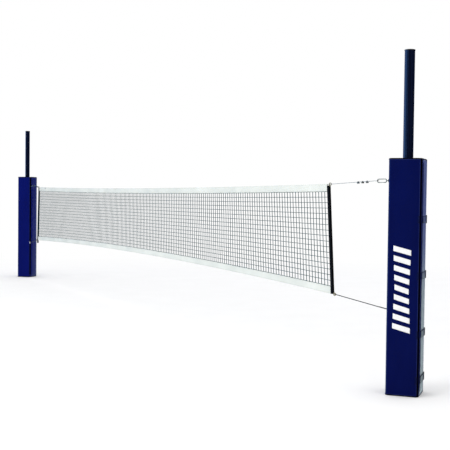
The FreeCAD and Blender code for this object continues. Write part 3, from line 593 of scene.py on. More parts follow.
def corner_arc(centre_x, centre_y, radius, first, last):
    """Points of an arc in plan, angles in quarter turns."""
    out = []
    for i in range(ARC_STEPS + 1):
        angle = math.pi / 2 * lerp(first, last, i / ARC_STEPS)
        out.append((centre_x + radius * math.cos(angle), centre_y + radius * math.sin(angle), 0))
    return out


def path_length(points):
    return sum((Vector(b) - Vector(a)).length for a, b in zip(points, points[1:]))


def slab_sheets(outer, inner, z0, z1):
    """The outer and the inner sheet of a board, as grids of points with small cells at their borders."""
    distances = spread(path_length(outer), PAD_CELL, EDGE_TAPE)
    heights = [z0 + d for d in spread(z1 - z0, PAD_CELL, EDGE_TAPE)]
    sheets = []
    for path in (outer, inner):
        sheets.append([[Vector((p.x, p.y, z)) for z in heights] for p in along_path(path, distances)])
    return sheets


def rim_point(sheets, i, j, angle):
    """A point of the half round rim that joins the sheets at a border place."""
    a, b = sheets[0][i][j], sheets[1][i][j]
    columns, rows = len(sheets[0]), len(sheets[0][0])
    out = Vector((0, 0, 0))
    if j in (0, rows - 1):
        out.z = 1 if j else -1
    if i in (0, columns - 1):
        inside = i - 1 if i else 1
        out += (a - sheets[0][inside][j]).normalized()
    return a.lerp(b, (1 - math.cos(angle)) / 2) + out.normalized() * RIM * math.sin(angle)


def slab_mesh(outer, inner, z0, z1):
    """A closed foam board in its cover: an outer sheet, an inner sheet and a round rim all round.
    Returns vertices, faces, the vertices that seams hold, and the faces of the edge tape."""
    sheets = slab_sheets(outer, inner, z0, z1)
    columns, rows = len(sheets[0]), len(sheets[0][0])
    size = columns * rows
    verts = [point for sheet in sheets for column in sheet for point in column]
    seams = border_loop(columns, rows) + border_loop(columns, rows, 1)
    held = {base + i * rows + j for base in (0, size) for i, j in seams}
    faces, taped = [], set()
    for base in (0, size):
        for i in range(columns - 1):
            for j in range(rows - 1):
                a = base + i * rows + j
                quad = (a, a + rows, a + rows + 1, a + 1)
                if i in (0, columns - 2) or j in (0, rows - 2):
                    taped.add(len(faces))
                faces.append(quad[::-1] if base else quad)
    loop = border_loop(columns, rows)
    rings = [[i * rows + j for i, j in loop]]
    for step in range(1, RIM_STEPS):
        rings.append([len(verts) + k for k in range(len(loop))])
        held.update(rings[-1])
        verts += [rim_point(sheets, i, j, math.pi * step / RIM_STEPS) for i, j in loop]
    rings.append([size + i * rows + j for i, j in loop])
    for first, second in zip(rings, rings[1:]):
        for k in range(len(loop)):
            n = (k + 1) % len(loop)
            taped.add(len(faces))
            faces.append((first[n], first[k], second[k], second[n]))
    return verts, faces, held, taped


def board_outlines():
    """The outer and inner sheets of a pad's three boards, in plan, in the pad's own frame."""
    half, inn = PAD_HALF, PAD_INNER
    bend, inner_bend = CORNER_BEND, INNER_BEND
    hinge_board = (
        [(-half + RIM, -half, 0), (half - SLIT_BACK - RIM, -half, 0)],
        [(-inn + RIM, -inn, 0), (inn - SLIT_BACK - RIM, -inn, 0)],
    )
    outer = [(half, -half + SLIT_BACK + RIM, 0)] + corner_arc(half - bend, half - bend, bend, 0, 1)
    outer.append((-half + FLAP_LIP + RIM, half, 0))
    inner = [(inn, -inn + SLIT_BACK + RIM, 0)]
    inner += corner_arc(inn - inner_bend, inn - inner_bend, inner_bend, 0, 1)
    inner.append((-inn + FLAP_LIP + RIM, inn, 0))
    flap = (
        [(-half, half - FLAP_LIP - RIM, 0), (-half, -half + FLAP_LIP + RIM, 0)],
        [(-inn, inn - FLAP_LIP - RIM, 0), (-inn, -inn + FLAP_LIP + RIM, 0)],
    )
    return {"hinge_board": hinge_board, "corner_board": (outer, inner), "flap_board": flap}


CROWN = 5.5 * MM
SIM_FRAMES = 18
CLOTH = {
    "quality": 5,
    "mass": 0.4,
    "vertex_group_mass": "seams",
    "tension_stiffness": 18,
    "compression_stiffness": 18,
    "shear_stiffness": 8,
    "bending_stiffness": 0.6,
    "use_pressure": True,
    "uniform_pressure_force": 5.0,
    "shrink_min": -0.004,
}
BEND_REACH = 6 * MM


def cloth_slab(name, mesh_data, corner_hold):
    """An object with a pressurised cloth on a slab, held along its seams."""
    verts, faces, held, _ = mesh_data
    obj = new_object(name, verts, faces, LOOK["anchor_vinyl"])
    pins = obj.vertex_groups.new(name="seams")
    pins.add(sorted(held | corner_hold), 1.0, "REPLACE")
    modifier = obj.modifiers.new("Cloth", "CLOTH")
    settings = modifier.settings
    for key, value in CLOTH.items():
        setattr(settings, key, value)
    settings.effector_weights.gravity = 0.0
    modifier.collision_settings.use_collision = False
    modifier.point_cache.frame_start = 1
    modifier.point_cache.frame_end = SIM_FRAMES
    return obj


def rounded_corner(verts):
    """The vertices of the corner board that lie on its bend, which the foam keeps in shape."""
    bend = PAD_INNER - BEND_REACH
    return {i for i, v in enumerate(verts) if v.x > bend and v.y > bend}


def simulate_boards():
    """The three boards after the cover has been blown up over the foam, as vertex lists."""
    scene = bpy.context.scene
    made = {}
    for name, (outer, inner) in board_outlines().items():
        data = slab_mesh(outer, inner, RIM, PAD_TOP - RIM)
        made[name] = (cloth_slab(name, data, rounded_corner(data[0])), data)
    for number in range(1, SIM_FRAMES + 1):
        scene.frame_set(number)
    boards = {}
    for name, (obj, data) in made.items():
        graph = bpy.context.evaluated_depsgraph_get()
        blown = obj.evaluated_get(graph).data
        verts = []
        for rest, vertex in zip(data[0], blown.vertices):
            move = vertex.co - rest
            move *= min(1.0, CROWN / max(move.length, 1e-9))
            verts.append(rest + move)
        boards[name] = (verts, data[1], data[3])
        bpy.data.objects.remove(obj)
    scene.frame_set(1)
    return boards


UNEVEN = 0.7 * MM


def uneven_place(point, matrix, seed, lift=0.0):
    """A board's point in the world, moved in or out a little so that no two boards are quite alike."""
    spot = Vector((point.x * 6 + seed, point.y * 6, point.z * 2.5))
    out = Vector((point.x, point.y, 0)).normalized()
    return matrix @ (point + out * (UNEVEN * noise.noise(spot) + lift))


def board_piece(name, verts, faces, matrix, seed, material):
    """One board's cover, or a part of it, in its place and smoothed."""
    if matrix.determinant() < 0:
        faces = [tuple(reversed(face)) for face in faces]
    moved = [uneven_place(v, matrix, seed) for v in verts]
    obj = new_object(name, moved, faces, material)
    subdivide(obj)
    return obj


def subdivide(obj):
    """Applies one level of subdivision surface to the mesh."""
    modifier = obj.modifiers.new("Subdivision", "SUBSURF")
    modifier.levels = modifier.render_levels = 1
    apply_modifiers(obj)


def apply_modifiers(obj):
    """Puts the result of the object's modifiers in its mesh."""
    graph = bpy.context.evaluated_depsgraph_get()
    mesh = bpy.data.meshes.new_from_object(obj.evaluated_get(graph))
    old = obj.data
    obj.modifiers.clear()
    obj.data = mesh
    mesh.shade_smooth()
    bpy.data.meshes.remove(old)


TAPE_LIFT = 0.9 * MM
TAPE_THICK = 1.2 * MM
RIM_FLARE = 3.2 * MM
PIPING_R = 1.9 * MM
PIPING_LIFT = 0.4 * MM


def edge_tape_piece(name, board, matrix, seed):
    """The binding: the board's border faces, lifted off the cover and given a thickness."""
    verts, faces, taped = board
    border = [faces[i] for i in sorted(taped)]
    obj = board_piece(name, verts, border, matrix, seed, LOOK["edge_tape"])
    bm = bmesh.new()
    bm.from_mesh(obj.data)
    loose = [v for v in bm.verts if not v.link_faces]
    bmesh.ops.delete(bm, geom=loose, context="VERTS")
    bm.normal_update()
    for v in bm.verts:
        rim = min(v.co.z, PAD_TOP - v.co.z)
        flare = RIM_FLARE * max(0.0, 1 - rim / EDGE_TAPE)
        v.co += v.normal * TAPE_LIFT + Vector((v.normal.x, v.normal.y, 0)) * flare
    bm.to_mesh(obj.data)
    bm.free()
    thick = obj.modifiers.new("Thickness", "SOLIDIFY")
    thick.thickness = TAPE_THICK
    thick.offset = -1
    apply_modifiers(obj)
    return obj


def piping_piece(name, path, matrix, seed):
    """A round cord sewn in along the inner line of the edge tape on the outer sheet."""
    points = [uneven_place(v, matrix, seed, PIPING_LIFT) for v in path]
    verts, faces = sweep(points, circle(PIPING_R, 8), up=(0.3, 0.2, 0.9), loop=True)
    return new_object(name, verts, faces, LOOK["piping"])


def piping_loop(outer, z0, z1):
    """The indices of the outer sheet's vertices one cell in from the border, in order round it."""
    columns = len(spread(path_length(outer), PAD_CELL, EDGE_TAPE))
    rows = len(spread(z1 - z0, PAD_CELL, EDGE_TAPE))
    return [i * rows + j for i, j in border_loop(columns, rows, 1)]


BOARD_NODES = {
    "hinge_board": ("pad_cover", "pad_foam"),
    "corner_board": ("pad_cover", "pad_foam"),
    "flap_board": ("flap_cover", "flap_foam"),
}
SEED_STEP = 3.0
SEED_START = {"anchor": 0.0, "winch": 20.0}


def pad_pieces(side, boards):
    """The three padded boards of one pad with their binding and piping. Returns their surface."""
    matrix = pad_frame(side)
    outlines = board_outlines()
    covers = []
    for number, (key, board) in enumerate(boards.items()):
        verts, faces, _ = board
        name, seed = f"{side}_{key}", SEED_STEP * number + SEED_START[side]
        fixed = key != "flap_board"
        body = "posts" if fixed else f"{side}_flap"
        cover = board_piece(name, verts, faces, matrix, seed, LOOK[f"{side}_vinyl"])
        covers.append(cover)
        tape = edge_tape_piece(f"{name}_edge_tape", board, matrix, seed)
        loop = piping_loop(outlines[key][0], RIM, PAD_TOP - RIM)
        cord = piping_piece(f"{name}_piping", [verts[i] for i in loop], matrix, seed)
        place(cover, body, "pad_vinyl", *(f"{side}_{node}" for node in BOARD_NODES[key]))
        place(tape, body, "pad_vinyl", *([f"{side}_pad_binding"] if fixed else []))
        place(cord, body, "pad_vinyl")
    return Surface(covers, matrix)


FAR_OFF = 60 * MM


class Surface:
    """The outside of finished covers, found by rays in the pad's own frame."""

    def __init__(self, covers, matrix):
        self.matrix, self.back = matrix, matrix.inverted()
        self.trees = []
        for cover in covers:
            places = [vertex.co for vertex in cover.data.vertices]
            polygons = [polygon.vertices for polygon in cover.data.polygons]
            self.trees.append(BVHTree.FromPolygons(places, polygons))

    def hit(self, start, along):
        """The first point on the covers from start."""
        origin = self.matrix @ Vector(start)
        direction = (self.matrix.to_3x3() @ Vector(along)).normalized()
        found = [tree.ray_cast(origin, direction) for tree in self.trees]
        spots = [(far, spot) for spot, _, _, far in found if spot is not None]
        return self.back @ min(spots, key=lambda pair: pair[0])[1]

    def on_front(self, x, z, lift):
        """A point a little off the wide face that the strap laps onto."""
        return self.hit((x, PAD_HALF + FAR_OFF, z), (0, -1, 0)) + Vector((0, lift, 0))

    def on_flap(self, y, z, lift):
        """A point a little off the flap."""
        return self.hit((-PAD_HALF - FAR_OFF, y, z), (1, 0, 0)) - Vector((lift, 0, 0))

    def patch_on_front(self, columns, above, below):
        """A thin closed patch on the wide face, from columns of (x, z)."""
        sheets = []
        for lift in (above, below):
            sheets.append([[self.on_front(x, z, lift) for x, z in column] for column in columns])
        return thick_grid(*sheets)


BLOCK_REACH = 6.5 * MM
BLOCK_BEND = 6 * MM
BLOCK_INNER_BEND = 2 * MM


def corner_block(side):
    """The low padded block that joins the two fixed boards below the slit."""
    sheets = []
    for edge, bend in ((PAD_HALF, BLOCK_BEND), (PAD_INNER, BLOCK_INNER_BEND)):
        sheet = [(edge - BLOCK_REACH, -edge, 0)]
        sheet += corner_arc(edge - bend, bend - edge, bend, -1, 0)
        sheet.append((edge, BLOCK_REACH - edge, 0))
        sheets.append(sheet)
    verts, faces, _, _ = slab_mesh(*sheets, RIM, SLIT_FLOOR - RIM)
    matrix = pad_frame(side)
    verts = [matrix @ v for v in verts]
    obj = closed_object(f"{side}_corner_block", verts, faces, LOOK[f"{side}_vinyl"])
    subdivide(obj)
    place(obj, "posts", "pad_vinyl", f"{side}_pad_cover")


HINGE_REACH = 9 * MM
HINGE_BEND = 3 * MM
HINGE_ABOVE = 0.5 * MM
HINGE_BELOW = 0.9 * MM
HINGE_ROWS = 60


def hinge_strip(side):
    """The strip of cover that the flap swings on, bent round the pad's corner."""
    matrix = pad_frame(side)
    centre = Vector((HINGE_BEND - PAD_HALF, HINGE_BEND - PAD_HALF, 0))
    low, high = EDGE_TAPE, PAD_TOP - EDGE_TAPE
    rise = [Vector((0, 0, lerp(low, high, j / HINGE_ROWS))) for j in range(HINGE_ROWS + 1)]
    turns = [(-math.pi / 2, (reach, 0)) for reach in (HINGE_REACH, HINGE_REACH / 2)]
    turns += [(-math.pi / 2 * (1 + step / 4), (0, 0)) for step in range(5)]
    turns += [(-math.pi, (0, reach)) for reach in (HINGE_REACH / 2, HINGE_REACH)]
    sheets = []
    for radius in (HINGE_BEND + HINGE_ABOVE, HINGE_BEND - HINGE_BELOW):
        sheet = []
        for angle, (dx, dy) in turns:
            out = Vector((math.cos(angle), math.sin(angle), 0)) * radius
            foot = centre + Vector((dx, dy, 0)) + out
            sheet.append([matrix @ (foot + up) for up in rise])
        sheets.append(sheet)
    verts, faces = thick_grid(*sheets)
    obj = closed_object(f"{side}_flap_hinge", verts, faces, LOOK["edge_tape"])
    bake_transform(obj)


# ---- straps, buckles and the print ----
STRAP_START = 8 * MM
STRAP_LAP = 24 * MM
STRAP_LIFT = 3.4 * MM
STRAP_THICK = 1.9 * MM
STRAP_STEP = 11 * MM
STRAP_BEND = 7 * MM
STRAP_ROWS = (-1, -0.8, -0.4, 0, 0.4, 0.8, 1)
STRAP_EDGE_R = 1.5 * MM


def strap_column(surface, z, lift):
    """Points of one line of the strap: along the flap, round the corner and onto the wrap."""
    side = 2 * PAD_HALF
    count = round((side - STRAP_START - STRAP_BEND) / STRAP_STEP)
    reach = [lerp(STRAP_START, side - STRAP_BEND, i / count) for i in range(count + 1)]
    points = [surface.on_flap(d - PAD_HALF, z, lift) for d in reach]
    lap = [lerp(STRAP_BEND, STRAP_LAP, i / 2) for i in range(3)]
    after = [surface.on_front(d - PAD_HALF, z, lift) for d in lap]
    corner = Vector((points[-1].x, after[0].y, z))
    turn = []
    for share in (0.25, 0.5, 0.75):
        first, second = points[-1].lerp(corner, share), corner.lerp(after[0], share)
        turn.append(first.lerp(second, share))
    return points + turn + after


def strap_grid(surface, z, lift):
    """Columns of the strap's sheet, each a list across its height."""
    lines = [strap_column(surface, z + STRAP_TALL / 2 * share, lift) for share in STRAP_ROWS]
    return [list(column) for column in zip(*lines)]


STITCH_FROM = 36 * MM
STITCH_TO = 72 * MM
STITCH_HALF = 0.36 * STRAP_TALL
THREAD_R = 0.55 * MM
THREAD_LIFT = STRAP_LIFT + 0.3 * MM


def stitch_box(surface, z):
    """A sewn box with a cross in it, where the strap is stitched to the flap."""
    near, far = (STRAP_START + d - PAD_HALF for d in (STITCH_FROM, STITCH_TO))
    low, high = z - STITCH_HALF, z + STITCH_HALF
    corners = [(near, low), (far, low), (far, high), (near, high)]
    runs = list(zip(corners, corners[1:] + corners[:1]))
    runs += [(corners[0], corners[2]), (corners[1], corners[3])]
    parts = []
    for (y0, z0), (y1, z1) in runs:
        shares = [i / 7 for i in range(8)]
        path = [surface.on_flap(lerp(y0, y1, t), lerp(z0, z1, t), THREAD_LIFT) for t in shares]
        parts.append(sweep(path, circle(THREAD_R, 6), up=(1, 0, 0)))
    return merge(parts)


LOOP_FROM = 11 * MM
LOOP_TO = 34 * MM
LOOP_HALF = STRAP_TALL / 2 + 5 * MM
LOOP_BEND = 5 * MM
LOOP_LIFT = STRAP_LIFT + 2.4 * MM
LOOP_WIDE, LOOP_THICK, LOOP_ROUND = 5 * MM, 3.8 * MM, 1.6 * MM
BAR_R = 1.9 * MM
BAR_SHORT = 1 * MM


def buckle_loop(surface, z):
    """A moulded loop with a middle bar, lying on the strap beside the hinge."""
    near, far = LOOP_FROM - PAD_HALF, LOOP_TO - PAD_HALF
    centre = (near + far) / 2
    face = surface.on_flap(centre, z, LOOP_LIFT).x
    frame_line = rounded_box_section(far - near, 2 * LOOP_HALF, LOOP_BEND, 5)
    outline = [(face, centre + across, z + up) for across, up in frame_line]
    reach = LOOP_HALF - BAR_SHORT
    bar = [(face, centre, z + share * reach) for share in (-1, 0, 1)]
    section = rounded_box_section(LOOP_WIDE, LOOP_THICK, LOOP_ROUND)
    ring = sweep(outline, section, up=(1, 0, 0), loop=True)
    return merge([ring, sweep(bar, circle(BAR_R, 10), up=(1, 0, 0))])


PATCH_COLUMNS = (8 * MM, 13 * MM, 18 * MM, 22 * MM)
PATCH_ROWS = (-1, -0.5, 0, 0.5, 1)
PATCH_HALF = STRAP_TALL / 2 - 3 * MM
PATCH_ABOVE = 1.3 * MM
PATCH_BELOW = -0.4 * MM


def hook_patch(surface, z):
    """The fixed hook tape under the strap's lap."""
    columns = []
    for reach in PATCH_COLUMNS:
        columns.append([(reach - PAD_HALF, z + PATCH_HALF * share) for share in PATCH_ROWS])
    return surface.patch_on_front(columns, PATCH_ABOVE, PATCH_BELOW)


def fastenings(side, surface):
    """The straps of one pad with black cords along their edges (partly a binding, partly painted shade
    for the dark lines there), stitching, buckles and hook patches.
    """
    matrix = surface.matrix
    webs, edges, threads, buckles, patches = [], [], [], [], []
    for z in STRAP_Z:
        outer = strap_grid(surface, z, STRAP_LIFT)
        inner = strap_grid(surface, z, STRAP_LIFT - STRAP_THICK)
        webs.append(thick_grid(outer, inner))
        # Black cords along the top and bottom of each strap: partly binding, partly painted shade along
        # its edges.
        for row in (0, -1):
            seam = [a[row].lerp(b[row], 0.4) for a, b in zip(outer, inner)]
            edges.append(sweep(seam, circle(STRAP_EDGE_R, 8)))
        threads.append(stitch_box(surface, z))
        buckles.append(buckle_loop(surface, z))
        patches.append(hook_patch(surface, z))
    flap = f"{side}_flap"
    made = (
        ("straps", webs, "strap", flap, "strap_web", (f"{side}_pad_straps",)),
        ("strap_binding_and_shade_cords", edges, "strap_binding_and_shade", flap, "strap_web", ()),
        ("strap_stitching", threads, "thread", flap, "strap_web", ()),
        ("strap_loops", buckles, "buckle", flap, "buckle_plastic", (f"{side}_strap_buckles",)),
        ("hook_tape", patches, "hook_loop", "posts", "strap_web", (f"{side}_hook_patches",)),
    )
    for name, parts, look, body, slot, nodes in made:
        verts, faces = merge(parts)
        obj = closed_object(f"{side}_{name}", [matrix @ v for v in verts], faces, LOOK[look])
        place(obj, body, slot, *nodes)


PRINT_LOW = 505 * MM
PRINT_HIGH = 1175 * MM
PRINT_SPAN = (-58 * MM, 78 * MM)
PRINT_BARS = 9
PRINT_SLANT = 34 * MM
PRINT_INK = 0.56
PRINT_WAIST = 0.8
PRINT_COLUMNS = 12
PRINT_ROWS = 4
PRINT_ABOVE = 0.45 * MM
PRINT_BELOW = -0.5 * MM


def printed_bars(surface):
    """Plain slanted bars on the anchor pad's wide face, a little narrower towards the middle one."""
    pitch = (PRINT_HIGH - PRINT_LOW) / PRINT_BARS
    centre = sum(PRINT_SPAN) / 2
    parts = []
    for bar in range(PRINT_BARS):
        waist = PRINT_WAIST + (1 - PRINT_WAIST) * abs(2 * bar / (PRINT_BARS - 1) - 1)
        x0, x1 = (lerp(centre, edge, waist) for edge in PRINT_SPAN)
        columns = []
        for i in range(PRINT_COLUMNS + 1):
            share = i / PRINT_COLUMNS
            base = PRINT_LOW + pitch * bar + PRINT_SLANT * (share - 0.5)
            rise = [base + pitch * PRINT_INK * j / PRINT_ROWS for j in range(PRINT_ROWS + 1)]
            columns.append([(lerp(x0, x1, share), z) for z in rise])
        parts.append(surface.patch_on_front(columns, PRINT_ABOVE, PRINT_BELOW))
    verts, faces = merge(parts)
    verts = [surface.matrix @ v for v in verts]
    obj = closed_object("anchor_pad_print", verts, faces, LOOK["print"])
    place(obj, "posts", "pad_vinyl")


# ---- the net ----
MESH_ROWS = 17
MESH_PITCH = 49 * MM
UPRIGHT_R = 2.95 * MM
CROSS_R = 2.6 * MM
KNOT_R = 3.8 * MM
FIRST_ROW = 2 * MM
MESH_TUCK = 9 * MM
BILLOW = 5 * MM
CROSS_OFF = 1.2 * MM
DRIFT = Vector((2.2, 0, 1.4)) * MM
JITTER = Vector((1.2, 0.8, 0.5)) * MM


def mesh_nodes():
    """The crossing points of the net's cords, as columns of rows from the bottom up."""
    span = (TOP_ENDS[1] - TOP_ENDS[0]) - BAND
    columns = round(span / MESH_PITCH)
    grid = []
    for i in range(columns + 1):
        share = i / columns
        column = []
        for j in range(MESH_ROWS + 1):
            rise = j / MESH_ROWS
            guess = lerp(NET_LOW + TAPE, NET_TOP - TAPE, rise)
            x0, x1 = end_x(0, guess) + BAND / 2, end_x(1, guess) - BAND / 2
            x = lerp(x0, x1, share)
            low = low_edge(x) + TAPE + FIRST_ROW
            top = top_edge(x) - TAPE - FIRST_ROW
            z = lerp(low, top, rise)
            slack = math.sin(math.pi * rise)
            drift = noise.noise_vector(Vector((x * 2.2, 3.0, z * 3.0)))
            jitter = noise.noise_vector(Vector((i * 1.7, j * 1.3, 7.0)))
            edge = min(1.0, 6 * share, 6 * (1 - share)) * slack
            move = (DRIFT * drift + JITTER * jitter) * edge
            move.y = slack * BILLOW * drift.y + JITTER.y * jitter.y
            column.append(Vector((x, 0, z)) + move)
        grid.append(column)
    return grid


def knot_lump(centre):
    """A small twelve-cornered lump where two cords are tied."""
    golden = (1 + math.sqrt(5)) / 2
    corners = []
    for a in (-1, 1):
        for b in (-golden, golden):
            corners += [Vector((0, a, b)), Vector((a, b, 0)), Vector((b, 0, a))]
    return [centre + c.normalized() * KNOT_R for c in corners]


def lump_faces():
    """The triangles that join the twelve corners of a knot lump."""
    corners = knot_lump(Vector((0, 0, 0)))
    edge = min((corners[0] - c).length for c in corners[1:]) * 1.01
    faces = []
    for a in range(12):
        for b in range(a + 1, 12):
            for c in range(b + 1, 12):
                sides = ((a, b), (b, c), (a, c))
                if all((corners[p] - corners[q]).length < edge for p, q in sides):
                    normal = (corners[b] - corners[a]).cross(corners[c] - corners[a])
                    outward = normal.dot(corners[a]) > 0
                    faces.append((a, b, c) if outward else (a, c, b))
    return faces


def net_mesh_piece():
    """The knotted cord mesh, its upright cords running into the tapes."""
    grid = mesh_nodes()
    parts = []
    tuck = Vector((0, 0, MESH_TUCK))
    for column in grid:
        ends = [column[0] - tuck] + column + [column[-1] + tuck]
        parts.append(sweep(ends, circle(UPRIGHT_R, 6), up=(0, 1, 0)))
    for j in range(MESH_ROWS + 1):
        row = [column[j] + Vector((0, CROSS_OFF, 0)) for column in grid]
        parts.append(sweep(row, circle(CROSS_R, 6)))
    lump = lump_faces()
    for column in grid:
        for point in column:
            parts.append((knot_lump(point + Vector((0, CROSS_OFF / 2, 0))), lump))
    verts, faces = merge(parts)
    obj = new_object("net_cords", verts, faces, LOOK["mesh_cord"])
    place(obj, "net", "mesh_cord", "net_mesh")


TAPE_STEP = 12 * MM
TAPE_GAP = 0.5 * MM
TAPE_PUCKER = 0.22
TAPE_SWAY = 2.0 * MM
TAPE_RIPPLE = 0.8 * MM
TAPE_HEM = 0.9 * MM
# The folded tape's section: distance below the fold, and half thickness there.
TAPE_SECTION = (
    (66.0, 2.7), (62.0, 3.0), (57.0, 2.7), (51.0, 3.1), (40.0, 3.3), (28.0, 3.6),
    (17.0, 3.9), (10.5, 3.6), (7.0, 3.1), (4.2, 3.5), (1.5, 2.6), (0.2, 1.1),
)


def tape_piece(name, edge, inward, node):
    """A tape folded over a line. inward is 1 where it hangs from its edge, -1 where it stands on it."""
    z_mid = NET_TOP if inward > 0 else NET_LOW
    x0 = end_x(0, z_mid) + BAND / 2 + TAPE_GAP
    x1 = end_x(1, z_mid) - BAND / 2 - TAPE_GAP
    count = round((x1 - x0) / TAPE_STEP)
    outline = [(d * MM, -h * MM) for d, h in TAPE_SECTION]
    outline += [(d * MM, h * MM) for d, h in reversed(TAPE_SECTION)]
    verts, across = [], []
    for i in range(count + 1):
        x = lerp(x0, x1, i / count)
        wave = noise.noise(Vector((x * 1.3, 11.0, 0)))
        pucker = noise.noise(Vector((x * 55, 5.0, 0)))
        hem = noise.noise(Vector((x * 7, 9.0, 0)))
        for depth, y in outline:
            share = depth / TAPE
            puckered = y * (1 + TAPE_PUCKER * pucker * (1 - share))
            ripple = noise.noise(Vector((x * 20, 2.0, depth * 30)))
            sway = share * (TAPE_SWAY * wave + TAPE_RIPPLE * ripple)
            z = edge(x) - inward * (depth + share * TAPE_HEM * hem)
            verts.append((x, puckered + sway, z))
            across.append(depth)
    faces = tube_faces(count + 1, len(outline))
    if inward > 0:
        faces = [face[::-1] for face in faces]
    obj = new_object(name, verts, faces, LOOK["tape"])
    attribute = obj.data.attributes.new("across", "FLOAT", "POINT")
    attribute.data.foreach_set("value", across)
    place(obj, "net", "tape_white", node)


# Half the band's section from one edge to the other: share of its half width, and half thickness.
BAND_SECTION = (
    (1.0, 3.4), (0.97, 6.4), (0.88, 9.0), (0.70, 10.4), (0.62, 9.8), (0.54, 10.5), (0.25, 10.8),
    (-0.25, 10.8), (-0.54, 10.5), (-0.62, 9.8), (-0.70, 10.4), (-0.88, 9.0), (-0.97, 6.4), (-1.0, 3.4),
)
BAND_STEPS = 60
BAND_WOBBLE = 0.4 * MM
BAND_CREASE = 0.5 * MM


def end_band_piece(side, end):
    """A webbing sleeve sewn flat either side of the dowel that runs down inside it."""
    low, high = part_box(f"{side}_end_band")

    def section(i):
        wobble = BAND_WOBBLE * noise.noise(Vector((i * 0.6, end * 9.0, 0)))
        crease = BAND_CREASE * noise.noise(Vector((i * 1.9, end * 5.0, 3.0)))
        out = []
        for sign in (1, -1):
            for share, thick in BAND_SECTION:
                half = thick * MM + crease * (1 - share ** 2)
                out.append((sign * share * BAND / 2 + wobble, sign * half))
        return out

    rise = [lerp(low.z, high.z, i / BAND_STEPS) for i in range(BAND_STEPS + 1)]
    path = [(end_x(end, z), 0, z) for z in rise]
    verts, faces = sweep(path, section, up=(0, 1, 0))
    obj = new_object(f"{side}_band_sleeve", verts, faces, LOOK["band"])
    place(obj, "net", "band_black", f"{side}_end_band")


# ---- cable, cord and winch line ----
CABLE_R = 2.0 * MM
CORD_R = 2.5 * MM
CORD_SWELL = 1.5 * MM
HOOK_ROD_R = 3.4 * MM
EYE_ROD_R = 4.0 * MM
HOOK_EYE_ROD_R = 2.7 * MM
LOOP_EASE = 4.2 * MM
LOOP_LEAD = 34 * MM
TAIL_GAP = 0.4 * MM
HEM_SKIN = 1.2 * MM
HEM_CLEAR = 0.8 * MM
CABLE_INSET = 10 * MM
KNOT_OUT = BAND / 2 + 6 * MM
HEM_STEPS = 40
CABLE_TAILS = (190 * MM, 300 * MM)
CORD_TAIL = 140 * MM
WIRE_STRANDS, WIRE_PITCH = 6, 30 * MM
CORD_STRANDS, CORD_PITCH = 3, 20 * MM
CORE_SHARE = 0.45
KNOT_HALF, KNOT_COIL_R, KNOT_CORD_R = 3.5 * MM, 3.0 * MM, 1.7 * MM
WHIP_LONG, WHIP_LIFT, WHIP_CORD_R = 9 * MM, 0.5 * MM, 0.8 * MM


def hem_point(x, cord):
    """Where the cable, or the cord, runs inside its hem."""
    if cord:
        return Vector((x, 0, low_edge(x) + HEM_SKIN + CORD_R + HEM_CLEAR))
    return Vector((x, 0, top_edge(x) - HEM_SKIN - CABLE_R - HEM_CLEAR))


def hem_end(end, cord):
    """Where the cable or the cord leaves its hem."""
    out = 1 if end else -1
    x = LOW_ENDS[end] + out * KNOT_OUT if cord else TOP_ENDS[end] - out * CABLE_INSET
    return hem_point(x, cord)


def hem_run(cord, radius):
    """The plain length of cable or cord inside the hem."""
    x0, x1 = hem_end(0, cord).x, hem_end(1, cord).x
    run = [hem_point(lerp(x0, x1, i / HEM_STEPS), cord) for i in range(HEM_STEPS + 1)]
    return sweep(run, circle(radius, 8))


def bearing_points(fitting, rod_r):
    """Where a rope bears on the winch side's fitting and on the anchor side's."""
    z = middle(f"anchor_{fitting}").z
    winch_x, anchor_x = high_of(f"winch_{fitting}").x - rod_r, low_of(f"anchor_{fitting}").x + rod_r
    return Vector((winch_x, 0, z)), Vector((anchor_x, 0, z))


def teardrop(loop_r, strand):
    """A flat loop round an upright rod, as (along, across) from the rod."""
    bow = strand + 2 * MM
    shape = [(-LOOP_LEAD, -strand), (-LOOP_LEAD * 0.5, -bow)]
    for degrees in range(-100, 101, 20):
        angle = math.radians(degrees)
        shape.append((loop_r * math.cos(angle), loop_r * math.sin(angle)))
    return shape + [(-LOOP_LEAD * 0.5, bow), (-LOOP_LEAD, strand)]


def looped_path(start, tip, rod_r, radius, tail):
    """From the hem, round the rod at tip and back beside the first strand."""
    towards = 1 if tip.x > start.x else -1
    strand = radius + TAIL_GAP / 2
    loop = teardrop(rod_r + radius + LOOP_EASE, strand)
    points = [start] + [tip + Vector((towards * dx, dy + strand, 0)) for dx, dy in loop]
    share = (tail - LOOP_LEAD) / (abs(tip.x - start.x) - LOOP_LEAD)
    tail_z = lerp(tip.z, start.z, share)
    points.append(Vector((tip.x - towards * tail, 2 * strand, tail_z)))
    return cut_corners(points, 1)


WHIP_STEPS = 10


def whipping(a, b, radius, turns, wrap_r):
    """A tight coil of thin cord from a to b."""
    along = (b - a).normalized()
    side = along.cross(Vector((0, 1, 0))).normalized()
    up = side.cross(along)
    coil = []
    steps = WHIP_STEPS * turns
    for i in range(steps + 1):
        angle = 2 * math.pi * i / WHIP_STEPS
        coil.append(a.lerp(b, i / steps) + (side * math.cos(angle) + up * math.sin(angle)) * radius)
    return sweep(coil, circle(wrap_r, 6), up=along)


def rope_piece(name, parts, look, slot, *nodes):
    """Finished rope parts as one piece that moves with the net."""
    verts, faces = merge(parts)
    place(closed_object(name, verts, faces, LOOK[look]), "net", slot, *nodes)


